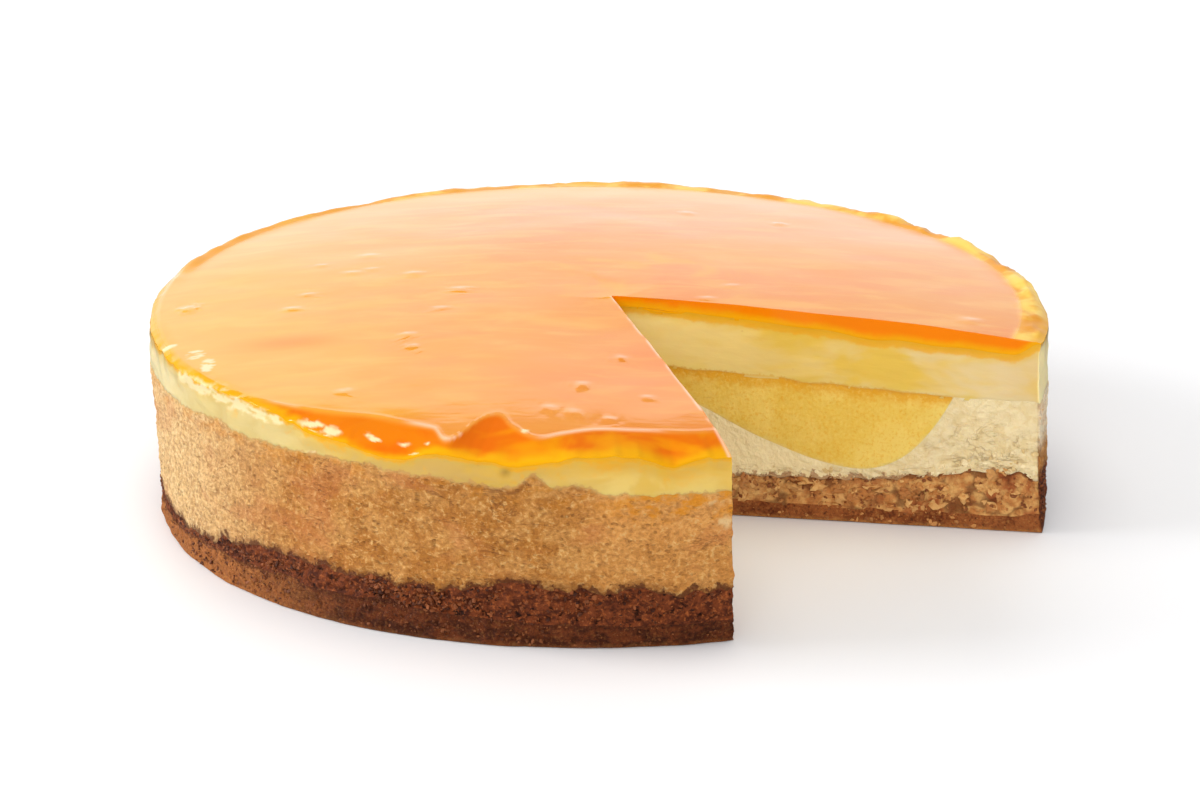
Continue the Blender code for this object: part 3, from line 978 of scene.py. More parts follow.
@dataclass(frozen=True)
class BakedCheeseFinish:
    """Baked cheese: a tan, pitted skin on the wall, and a crumbly cream cut face."""

    cream: Colour = (232, 212, 166)
    shade: Colour = (218, 190, 130)
    # Paler on the cut face towards the slice's point: painted light where the notch between the cut faces shades
    # it.
    cut_point_light: Colour = (250, 230, 178)
    crack: Colour = (190, 142, 78)
    nut: Colour = (150, 92, 48)
    rind: Colour = (150, 92, 44)
    skin: Colour = (190, 124, 50)
    skin_pale: Colour = (208, 148, 76)
    # Paler skin and light flecks at the far left: painted light and painted highlights from the left lamp.
    skin_left_light: Colour = (236, 196, 136)
    left_highlight: Colour = (250, 228, 176)
    # Paler colours at the right end and at the front right of the wall: painted light where the wall lies in shade.
    right_end_light: Colour = (255, 240, 206)
    front_end_light: Colour = (228, 160, 84)
    light: Colour = (228, 182, 114)
    # Darker brown for the grain's dark flecks and the tears, and for the pits, where it is partly painted shade.
    pit: Colour = (122, 66, 24)
    rosy: Colour = (196, 112, 62)
    seam: Colour = (216, 178, 104)
    smear: Colour = (236, 206, 150)
    wall_crack: Colour = (128, 70, 28)
    stain: Colour = (222, 140, 16)
    scorched: Colour = (104, 54, 16)
    speck: Colour = (92, 42, 16)
    grain: Cloud = Cloud(1.1, 4.0, 0.68, 0.2, (1.25, 1.25, 1.0))
    curds: Cloud = Cloud(2.6, 3.0, 0.55, 0.8)
    crumble: Cloud = Cloud(1.5, 3.0, 0.65)
    cracks: Cloud = Cloud(3.6, 3.0, 0.6, 1.4, (2.2, 2.2, 1.0))
    cracked: Cloud = Cloud(8.0)
    nut_line: Cloud = Cloud(2.4, 3.0, 0.65)
    rind_line: Cloud = Cloud(1.5)
    mottling: Cloud = Cloud(6.0, 3.0, 0.55, 0.3, (1.7, 1.7, 1.0))
    pitted: Cloud = Cloud(4.0, 2.0)
    rosy_patches: Cloud = Cloud(15.0, 3.0, 0.55, 0.5, (1.8, 1.8, 1.0))
    tears: Cloud = Cloud(7.0, 4.0, 0.65, 0.6, (3.2, 3.2, 1.0))
    torn: Cloud = Cloud(13.0)
    stains: Cloud = Cloud(4.0, 3.0, 0.6, 0.3, (1.6, 1.6, 1.0))
    scorch_line: Cloud = Cloud(3.0, 3.0)
    speck_line: Cloud = Cloud(1.8, 3.0, 0.65)
    swells: Cloud = Cloud(2.4, 3.0)

    def cut_colour(self, p: Palette, above: Worth, inward: Worth, curds: Worth, cracks: Worth) -> Socket:
        """Mixes the cut face's colour."""
        x, _, _ = p.axes()
        nuts = above + p.cloud(self.nut_line) * (7.0 + x.rise(0.08, 0.1) * 3.0) - 3.5
        edge = (inward + p.cloud(self.rind_line) * 1.2).rise(1.7, 0.9) * above.rise(12.0, 7.0)
        return p.coats(
            self.cream,
            (curds.rise(0.62, 0.36) * 0.5, self.shade),
            # Painted light: the cut face paler towards the slice's point, where the notch shades it.
            (x.rise(0.075, 0.04) * 0.6, self.cut_point_light),
            (cracks * 0.3, self.crack),
            (nuts.rise(0.8, 0.1) * 0.7, self.nut),
            (edge * 0.9, self.rind),
        )

    def skin_colour(self, p: Palette, above: Worth, grain: Worth, pits: Worth) -> Socket:
        """Mixes the wall's colour."""
        x, y, z = p.axes()
        below = p.stored("below_top")
        mottled, stains = p.cloud(self.mottling), p.cloud(self.stains)
        # Where the wall is lightened: painted light on parts that lie in shade.
        right_end_light = x.rise(0.085, 0.108) * z.rise(0.02, 0.027) * y.rise(0.07, 0.0)
        front_end_light = x.rise(-0.012, 0.008) * y.rise(-0.08, -0.1)
        front_right = x.rise(0.0, 0.014) * y.rise(-0.06, -0.09)
        tears = abs(p.cloud(self.tears) - 0.5).rise(0.012, 0.002) * p.cloud(self.torn).rise(0.52, 0.6)
        return p.coats(
            self.skin,
            (mottled.rise(0.4, 0.62), self.skin_pale),
            # Painted light: paler towards the left, where the left lamp falls strongest.
            (x.rise(-0.07, -0.112) * (0.6 + mottled * 0.5), self.skin_left_light),
            # Painted light at the right end and the front right.
            (right_end_light * 0.9, self.right_end_light),
            (front_end_light * (0.45 + z.rise(0.024, 0.032) * 0.35), self.front_end_light),
            (grain.rise(0.56, 0.34) * 0.4, self.pit),
            (grain.rise(0.52, 0.68) * 0.75, self.light),
            # The pits: partly the skin's own dark specks, partly painted shade.
            (pits * 0.22, self.pit),
            # Painted highlights: light flecks on the grain at the far left.
            (x.rise(-0.08, -0.112) * grain.rise(0.5, 0.66) * 0.6, self.left_highlight),
            (p.cloud(self.rosy_patches).rise(0.52, 0.66) * 0.35, self.rosy),
            (tears * 0.5, self.pit),
            (p.frayed(below, grain, 3.0).rise(0.9, 0.0) * 0.5, self.seam),
            (p.stored("cream") * 0.7, self.smear),
            (p.stored("crack") * 0.7, self.wall_crack),
            (stains.rise(0.5, 0.62) * below.rise(8.0, 1.5) * 0.3, self.stain),
            (stains.rise(0.42, 0.58) * below.rise(9.0, 5.0) * front_right * 0.75, self.stain),
            (p.frayed(above, p.cloud(self.scorch_line), 5.0).rise(3.2, 0.0) * 0.5, self.scorched),
            (p.frayed(above, p.cloud(self.speck_line), 9.0).rise(1.3, 0.3) * 0.8, self.speck),
        )

    def make(self) -> bpy.types.Material:
        """Builds the material."""
        p = Palette(bpy.data.materials.new("baked_cheese"))
        wall, above, inward = (p.stored(name) for name in ("wall", "above_foot", "inward"))
        grain, curds = p.cloud(self.grain), p.cloud(self.curds)
        broken = inward.rise(60.0, 8.0) * above.rise(20.0, 6.0) * p.cloud(self.cracked).rise(0.4, 0.56)
        cracks = abs(p.cloud(self.cracks) - 0.5).rise(0.03, 0.004) * broken.most(above.rise(3.0, 1.0) * 0.7)
        pits = p.cells(1.3, (1.4, 1.4, 1.0)).rise(0.36, 0.1) * p.cloud(self.pitted).rise(0.36, 0.56)
        face = self.cut_colour(p, above, inward, curds, cracks)
        colour = p.tint(wall, face, self.skin_colour(p, above, grain, pits))
        cut_height = p.cloud(self.crumble) * 0.7 + curds * 0.4 - cracks * 0.25
        wall_height = grain * 1.1 - pits * 0.5 + p.cloud(self.swells)
        normal = p.raised(cut_height * (1.0 - wall) + wall_height * wall, 1.1)
        return p.finish(base_color=colour, roughness=0.6 + grain * 0.2, normal=normal, ior=1.38,
                        subsurface_weight=0.12, subsurface_radius=(1.0, 0.6, 0.3), subsurface_scale=2.0 * MM)


@dataclass(frozen=True)
class NutCrumbFinish:
    """Coarse crumb with pale nuts: light at the cut, dark and pressed on the wall."""

    crumb: Colour = (196, 130, 70)
    nut: Colour = (220, 168, 100)
    nut_left: Colour = (236, 190, 120)
    red: Colour = (160, 84, 42)
    # Dark colour for the gaps between clumps and under the cheese's edge: painted shade.
    gap: Colour = (96, 46, 20)
    wall_crumb: Colour = (118, 56, 24)
    wall_dark: Colour = (78, 32, 12)
    # Near black in the wall's holes: painted shade.
    wall_hole_shade: Colour = (32, 10, 4)
    wall_light: Colour = (170, 92, 44)
    grain: Cloud = Cloud(1.0, 3.0, 0.65)
    nuts: Cloud = Cloud(3.4, 3.0, 0.6)
    reds: Cloud = Cloud(7.0, 2.0)
    left_nuts: Cloud = Cloud(2.6, 3.0, 0.6)
    gap_line: Cloud = Cloud(2.0, 3.0)
    gaps: Cloud = Cloud(6.0)
    wall_patches: Cloud = Cloud(2.0, 4.0, 0.65, 0.3, (1.5, 1.5, 1.0))
    wall_holes: Cloud = Cloud(1.8, 4.0, 0.7, 0.6, (1.6, 1.6, 1.0))

    def make(self) -> bpy.types.Material:
        """Builds the material."""
        p = Palette(bpy.data.materials.new("coarse_nut_crumb"))
        x, _, _ = p.axes()
        wall = p.stored("wall")
        grain = p.cloud(self.grain)
        bits = p.cells(3.2, (1.4, 1.4, 1.0))
        upper = p.frayed(p.stored("below_top"), p.cloud(self.gap_line), 4.4).rise(1.3, 0.4)
        face = p.coats(
            self.crumb,
            (p.cloud(self.nuts).rise(0.4, 0.62), self.nut),
            (p.cloud(self.reds).rise(0.5, 0.64) * (0.5 + x.rise(0.06, 0.1) * 0.4), self.red),
            (x.rise(0.06, 0.03) * p.cloud(self.left_nuts).rise(0.42, 0.56) * 0.6, self.nut_left),
            # Painted shade between the clumps and under the cheese's overhanging edge; the darker grain is the
            # crumb's own.
            (bits.rise(0.5, 0.74) * 0.66, self.gap),
            (grain.rise(0.5, 0.8) * 0.25, self.gap),
            (upper * p.cloud(self.gaps).rise(0.4, 0.5) * 0.85, self.gap),
        )
        holes = p.cloud(self.wall_holes).rise(0.42, 0.34)
        skin = p.coats(
            self.wall_crumb,
            (p.cloud(self.wall_patches).rise(0.42, 0.6), self.wall_dark),
            (grain.rise(0.5, 0.7) * 0.7, self.wall_light),
            # Painted shade in the wall's holes.
            (holes * 0.85, self.wall_hole_shade),
        )
        normal = p.raised(grain * 0.7 - bits * 0.5 - holes * wall, 1.2)
        return p.finish(base_color=p.tint(wall, face, skin), roughness=0.66 + grain * 0.2, normal=normal, ior=1.34)


@dataclass(frozen=True)
class BaseCrumbFinish:
    """Dark pressed crumb, sandy where it touches the tin."""

    crumb: Colour = (160, 90, 44)
    dark: Colour = (122, 60, 26)
    sandy: Colour = (198, 136, 72)
    wall_crumb: Colour = (110, 52, 22)
    wall_dark: Colour = (78, 34, 14)
    left: Colour = (200, 124, 64)
    joined: Colour = (86, 38, 16)
    gap: Colour = (50, 22, 10)
    grain: Cloud = Cloud(0.8, 3.0, 0.7)
    mottling: Cloud = Cloud(2.6, 4.0, 0.65, 0.4)
    cut_patches: Cloud = Cloud(5.0, 3.0, 0.6)
    wall_patches: Cloud = Cloud(3.0, 3.0, 0.6, 0.3, (1.8, 1.8, 1.0))
    sand_line: Cloud = Cloud(1.6, 4.0, 0.65)

    def make(self) -> bpy.types.Material:
        """Builds the material."""
        p = Palette(bpy.data.materials.new("pressed_base_crumb"))
        x, _, _ = p.axes()
        wall = p.stored("wall")
        left = wall * x.rise(-0.055, -0.1)
        grain, mottled = p.cloud(self.grain), p.cloud(self.mottling)
        skin = p.tint(p.cloud(self.wall_patches).rise(0.42, 0.6), self.wall_crumb, self.wall_dark)
        sand = p.frayed(p.stored("above_foot"), p.cloud(self.sand_line), 5.0).rise(1.2, 0.0)
        joined = p.frayed(p.stored("below_top"), mottled, 5.0).rise(1.5, 0.2)
        colour = p.coats(
            self.crumb,
            (p.cloud(self.cut_patches).rise(0.4, 0.62), self.dark),
            (wall, skin),
            (sand * (1.0 - wall * 0.7) * 0.55, self.sandy),
            (left * (0.4 + mottled * 0.6), self.left),
            (left * mottled.rise(0.52, 0.68) * 0.4, self.wall_dark),
            (joined * wall * 0.8, self.joined),
            (grain.rise(0.5, 0.72) * (0.5 - wall * 0.3 + left * 0.5), self.sandy),
            (grain.rise(0.47, 0.3) * 0.7, self.gap),
        )
        normal = p.raised(grain + mottled * 0.5, 1.1)
        return p.finish(base_color=colour, roughness=0.7 + grain * 0.2, normal=normal, ior=1.34)


@dataclass(frozen=True)
class BitFinish:
    """Nuts and crumbs: each has a shade of its own between a light colour and a dark one."""

    name: str
    light: Colour
    dark: Colour
    grain: Cloud = Cloud(0.7, 3.0, 0.6)

    def make(self) -> bpy.types.Material:
        """Builds the material."""
        p = Palette(bpy.data.materials.new(self.name))
        grain = p.cloud(self.grain)
        colour = p.tint(p.frayed(p.stored("shade"), grain, 0.4).rise(0.0, 1.0), self.light, self.dark)
        return p.finish(base_color=colour, roughness=0.6 + grain * 0.2, normal=p.raised(grain, 0.3, 0.6))


@dataclass(frozen=True)
class FloorFinish:
    """A plain pale floor, faintly uneven."""

    pale: Colour = (246, 246, 247)
    shade: Colour = (242, 242, 244)
    patches: Cloud = Cloud(180.0, 3.0)

    def make(self) -> bpy.types.Material:
        """Builds the material."""
        p = Palette(bpy.data.materials.new("pale_floor"))
        patches = p.cloud(self.patches)
        return p.finish(base_color=p.tint(patches, self.pale, self.shade), roughness=0.55 + patches * 0.1)


LayerFinish = Union[BaseCrumbFinish, NutCrumbFinish, BakedCheeseFinish, CurdFinish, MousseFinish, GlazeFinish]


@dataclass
class LayerPiece:
    """One layer of the cake, between two borders. Its noise is (height, pitch, seed) of each part."""

    shape: CakeShape
    name: str
    node: str
    slot: str
    finish: LayerFinish
    lower_border: Border
    upper_border: Border
    division: Division = Division()
    start: float = 0.0
    end: float = 1.0
    tuck: float = 0.6
    calm: float = 0.8
    wall_noise: Noise = ()
    wall_shift: float = 0.0
    cut_noise: Noise = ()
    cut_shift: float = 0.0
    shared_wall_noise: Noise = ((0.3, 16.0, 0.0), (0.15, 5.0, 2.0))
    shared_cut_noise: Noise = ((0.16, 11.0, 6.0),)

    def lower(self, share: Array, angle: Array) -> Array:
        """Returns the height of the layer's lower border."""
        return self.lower_border(self.shape, share, angle)

    def upper(self, share: Array, angle: Array) -> Array:
        """Returns the height of the layer's upper border."""
        return self.upper_border(self.shape, share, angle)

    def wall_relief(self, points: Array) -> Array:
        """Returns how far the wall's surface stands out, beyond the unevenness that all layers share."""
        return relief(points, self.wall_noise) + self.wall_shift

    def cut_relief(self, points: Array) -> Array:
        """Returns how far the cut faces stand out, beyond the unevenness that all layers share."""
        return relief(points, self.cut_noise) + self.cut_shift

    def extra(self, spread: Spread) -> Marks:
        """Returns the numbers that the layer's material reads beyond the shared ones, by name."""
        return {}

    def block(self) -> bpy.types.Object:
        """Cuts a cube into the layer's grid.

        Returns:
            The block, with each coordinate from 0 to 1.
        """
        Bench.clear_selection()
        bpy.ops.mesh.primitive_cube_add(size=1.0, location=(0.5, 0.5, 0.5))
        piece = bpy.context.active_object
        piece.name = piece.data.name = self.name
        bpy.ops.object.transform_apply(location=True, rotation=True, scale=True)
        bpy.context.tool_settings.mesh_select_mode = (False, True, False)
        d = self.division

        def near_end(middle: Array, reach: float = d.strip) -> Array:
            """Says which edges lie in a cut face, or in the strip behind it."""
            return (middle[:, 0] < reach) | (middle[:, 0] > 1.0 - reach)

        for parts in d.stations:
            Bench.divide(piece, Axis.ROUND, parts, lambda middle: np.ones(len(middle), bool))
        Bench.divide(piece, Axis.UP, d.rows, lambda middle: (middle[:, 1] > 0.5) | near_end(middle, TOUCH))
        for parts in d.columns:
            Bench.divide(piece, Axis.OUT, parts, lambda m: near_end(m) | (d.fine_top & (m[:, 2] > 1.0 - TOUCH)))
        if not d.fine_top:
            Bench.divide(piece, Axis.OUT, d.upper_rings, lambda m: ~near_end(m) & (m[:, 2] > 1.0 - TOUCH))
        Bench.divide(piece, Axis.OUT, d.lower_rings, lambda m: ~near_end(m) & (m[:, 2] < TOUCH))
        bpy.context.tool_settings.mesh_select_mode = (False, False, True)
        bpy.ops.object.mode_set(mode="EDIT")
        bpy.ops.mesh.select_face_by_sides(number=4, type="GREATER", extend=False)
        bpy.ops.mesh.poke()
        bpy.ops.object.mode_set(mode="OBJECT")
        return piece

    def settle(self, unit: Array) -> Spread:
        """Carries the block's points to their places in the cake.

        Args:
            unit: The block's points, each coordinate from 0 to 1.

        Returns:
            The points in place.
        """
        bend = self.division.columns_bend
        turn = Stations().turn(unit[:, 0])
        out = np.interp(unit[:, 1], (0.0, bend[0], 1.0), (0.0, bend[1], 1.0))
        share = mix(self.start, self.end, out)
        level = unit[:, 2]
        height = mix(self.lower(share, np.zeros_like(share)), self.upper(share, np.zeros_like(share)), level)
        true_share = np.maximum(share, self.shape.point_share())
        for _ in range(2):
            x, y, heading = self.shape.plan(turn, share, height)
            angle = np.degrees(np.arctan2(y, x))
            lower, upper = self.lower(true_share, angle), self.upper(true_share, angle)
            height = mix(lower, upper, level)
        spread = Spread(np.column_stack([x, y, height]), turn, share, level, angle, heading, lower, upper)
        hidden = (level < TOUCH) & ~spread.on_wall() & ~spread.on_cut()
        spread.points[hidden, 2] -= self.tuck
        return spread

    def raise_relief(self, spread: Spread) -> Array:
        """Raises the relief of the wall and of the cut faces.

        Args:
            spread: The layer's points in place.

        Returns:
            Their places with the relief.
        """
        points = spread.points.copy()
        wall, cut = spread.on_wall(), spread.on_cut()
        ends = np.minimum(spread.points[:, 2] - spread.lower, spread.upper - spread.points[:, 2])
        calm = smooth(0.0, self.calm, ends)
        rise = relief(points[wall], self.shared_wall_noise) + calm[wall] * self.wall_relief(spread.points[wall])
        points[wall] += spread.outward()[wall] * rise[:, None]
        rise = relief(points[cut], self.shared_cut_noise) + calm[cut] * self.cut_relief(spread.points[cut])
        points[cut] += spread.cut_outward()[cut] * rise[:, None]
        return points

    def build(self) -> bpy.types.Object:
        """Models the layer, dresses it and puts it on the frame.

        Returns:
            The finished piece.
        """
        piece = self.block()
        spread = self.settle(Bench.points(piece))
        Bench.put(piece, self.raise_relief(spread))
        radius = np.hypot(spread.points[:, 0], spread.points[:, 1])
        stored = {
            "wall": spread.on_wall().astype(float),
            "cut": spread.on_cut().astype(float),
            "above_foot": spread.points[:, 2] - spread.lower,
            "below_top": spread.upper - spread.points[:, 2],
            "inward": self.shape.wall_radius(spread.angle, spread.points[:, 2]) - radius,
            **self.extra(spread),
        }
        for name, values in stored.items():
            Bench.write(piece, name, values)
        Bench.close_up(piece)
        piece.data.materials.append(self.finish.make())
        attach(piece, BODY)
        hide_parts(self.node)
        return piece


@dataclass
class CrumbBase(LayerPiece):
    """The pressed crumb at the bottom: a gritty wall, and a fine broken cut face."""

    name: str = "base_crumb_layer"
    node: str = "crumb_base"
    slot: str = "base_crumb"
    finish: LayerFinish = BaseCrumbFinish()
    lower_border: Border = CakeShape.floor
    upper_border: Border = CakeShape.base_upper
    division: Division = Division(rows=12, upper_rings=4, lower_rings=4)
    tuck: float = 0.0
    wall_noise: Noise = ((0.3, 3.0, 0.0), (0.3, 1.1, 5.0))
    wall_shift: float = -0.1
    cut_noise: Noise = ((0.2, 1.2, 0.0), (0.15, 4.0, 3.0))


@dataclass
class NutCrumb(LayerPiece):
    """The coarse crumb with nuts: pressed clumps on the wall, and broken ones, set deeply apart, at the cut."""

    name: str = "nut_crumb_layer"
    node: str = "nut_crumb"
    slot: str = "nut_crumb"
    finish: LayerFinish = NutCrumbFinish()
    lower_border: Border = CakeShape.base_upper
    upper_border: Border = CakeShape.crumb_upper
    division: Division = Division(rows=16, upper_rings=6, lower_rings=4)
    wall_noise: Noise = ((0.4, 4.0, 1.0), (0.35, 1.2, 5.0))
    wall_shift: float = -0.15
    cut_noise: Noise = ((0.35, 1.3, 2.0),)
    cut_shift: float = -0.5
    clump: Pitch = (3.6, 3.6, 2.6)
    clump_rise: float = 1.5
    clump_edge: float = 0.45

    def cut_relief(self, points: Array) -> Array:
        """Adds the clumps."""
        return self.clump_rise * (self.clump_edge - lumps(points, self.clump)) + super().cut_relief(points)


@dataclass
class BakedCheese(LayerPiece):
    """The baked cheese: a pitted skin on the wall, and the bowl of the curd in its top."""

    name: str = "baked_cheese_layer"
    node: str = "cheesecake"
    slot: str = "baked_cheese"
    finish: LayerFinish = BakedCheeseFinish()
    lower_border: Border = CakeShape.crumb_upper
    upper_border: Border = CakeShape.cake_upper
    division: Division = Division(rows=34, upper_rings=12, lower_rings=6)
    wall_noise: Noise = ((0.18, 3.4, 0.0), (0.2, 1.3, 5.0))
    cut_noise: Noise = ((0.14, 1.6, 0.0), (0.12, 4.5, 3.0))
    pit: Pitch = (2.4, 2.4, 1.9)
    pit_depth: float = 0.2
    flake_noise: Noise = ((0.55, (3.6, 3.6, 1.6), 7.0),)
    flake_gap: Pitch = (4.2, 4.2, 2.6)
    flake_gap_depth: float = 1.4
    flake_shift: float = -0.1
    smears: Sequence[Blot] = ((-73.9, 32.6, 1.8, 2.0, 1.0), (-75.5, 37.6, 3.0, 0.7, 0.5))
    crack_depth: float = 0.9
    crack_width: float = 0.4
    cracked: Swells = ((-100.5, 3.6, 1.0), (-92.5, 2.4, 0.8))

    def wall_relief(self, points: Array) -> Array:
        """Adds patches of fine pits."""
        pits = smooth(0.34, 0.12, lumps(points, self.pit)) * smooth(-0.1, 0.3, rough(points, 6.0))
        return super().wall_relief(points) - self.pit_depth * pits

    def cut_relief(self, points: Array) -> Array:
        """Adds flakes towards the wall and the crumb."""
        out = np.hypot(points[:, 0], points[:, 1]) / self.shape.rim_radius
        coarse = smooth(0.66, 0.95, out) * smooth(38.0, 20.0, points[:, 2])
        gaps = smooth(0.5, 0.2, lumps(points, self.flake_gap) + 0.3)
        flakes = relief(points, self.flake_noise) - self.flake_gap_depth * gaps
        return super().cut_relief(points) + coarse * (flakes + self.flake_shift)

    def extra(self, spread: Spread) -> Marks:
        """Stores where cream is smeared on the wall, by the cut, and where a crack runs under the mousse."""
        wall = spread.on_wall()
        smear = sum(part * blot(spread.points, *place) for *place, part in self.smears) * wall
        depth = spread.upper - spread.points[:, 2] + 0.5 * rough(spread.points, 4.0, 3.0)
        crack = np.exp(-(((depth - self.crack_depth) / self.crack_width) ** 2)) * bells(spread.angle, self.cracked)
        return {"cream": smooth(0.2, 0.7, smear * (1.0 + 0.7 * rough(spread.points, 1.4))), "crack": crack * wall}


@dataclass
class LimeCurd(LayerPiece):
    """The ring of curd sunk in the baked cheese, finely grained at the cut."""

    name: str = "lime_curd_layer"
    node: str = "lime_curd_ring"
    slot: str = "lime_curd"
    finish: LayerFinish = CurdFinish()
    lower_border: Border = CakeShape.bowl
    upper_border: Border = CakeShape.cake_top
    division: Division = Division(stations=(15, 14), rows=26, upper_rings=6, lower_rings=10)
    start: float = CakeShape.curd_inner
    end: float = CakeShape.curd_outer
    cut_noise: Noise = ((0.1, 1.3, 0.0),)


@dataclass(frozen=True)
class PaintedHighlightPatches:
    """Painted highlights on the rim, where the left light would shine on the wet edge: angle, height and half sizes
    of each patch.
    """

    patches: Sequence[Oval] = (
        (-152.0, 49.6, 2.0, 1.6), (-148.0, 49.6, 2.2, 2.0), (-143.5, 50.0, 2.6, 2.0), (-139.0, 49.6, 2.4, 1.9),
        (-134.5, 49.6, 2.2, 1.7), (-131.5, 49.8, 1.2, 1.2), (-127.0, 50.4, 1.6, 1.0), (-124.0, 50.0, 1.6, 0.9),
        (-118.8, 50.2, 0.8, 0.5), (-117.6, 49.5, 0.8, 0.35), (-113.8, 49.6, 1.0, 0.5), (-110.6, 50.6, 0.8, 0.3),
        (-99.0, 53.3, 0.8, 0.6), (-157.0, 54.2, 0.8, 0.8), (-151.0, 55.6, 1.6, 0.4), (-147.5, 56.2, 0.9, 0.6),
    )

    def at(self, points: Array, angle: Array) -> Array:
        """Returns 1 on a patch and 0 beside it, with a ragged edge between."""
        total = np.zeros(len(points))
        for middle, height, half_width, half_height in self.patches:
            across = turned(angle - middle) / half_width
            total = total + np.exp(-(across**2) - ((points[:, 2] - height) / half_height) ** 2)
        near = total > FAINT
        total[near] *= 1.0 + relief(points[near], ((0.6, (3.0, 3.0, 1.0), 4.0), (0.25, 0.9, 0.0)))
        return smooth(0.3, 0.8, total)


@dataclass
class LimeMousse(LayerPiece):
    """The smooth mousse under the glaze: soft swells left by the tin, one small hole, drag marks at the cut."""

    name: str = "lime_mousse_layer"
    node: str = "lime_mousse"
    slot: str = "mousse"
    finish: LayerFinish = MousseFinish()
    lower_border: Border = CakeShape.cake_top
    upper_border: Border = CakeShape.glaze_foot
    division: Division = Division(rows=20, upper_rings=12, lower_rings=6)
    wall_noise: Noise = ((0.22, (7.0, 7.0, 3.0), 1.0),)
    cut_noise: Noise = ((0.1, (6.0, 6.0, 1.5), 2.0),)
    hole: Oval = (-100.4, 45.6, 1.3, 1.1)
    hole_depth: float = 0.8

    def wall_relief(self, points: Array) -> Array:
        """Sinks the hole."""
        return super().wall_relief(points) - self.hole_depth * blot(points, *self.hole)

    def extra(self, spread: Spread) -> Marks:
        """Stores where the painted highlights lie, and the painted shade in the hole."""
        wall = spread.on_wall()
        return {"painted_highlight": PaintedHighlightPatches().at(spread.points, spread.angle) * wall,
                "hole_shade": blot(spread.points, *self.hole) * wall}


@dataclass(frozen=True)
class Bubble:
    """A small blister in the glaze."""

    x: float
    y: float
    radius: float
    rise: float


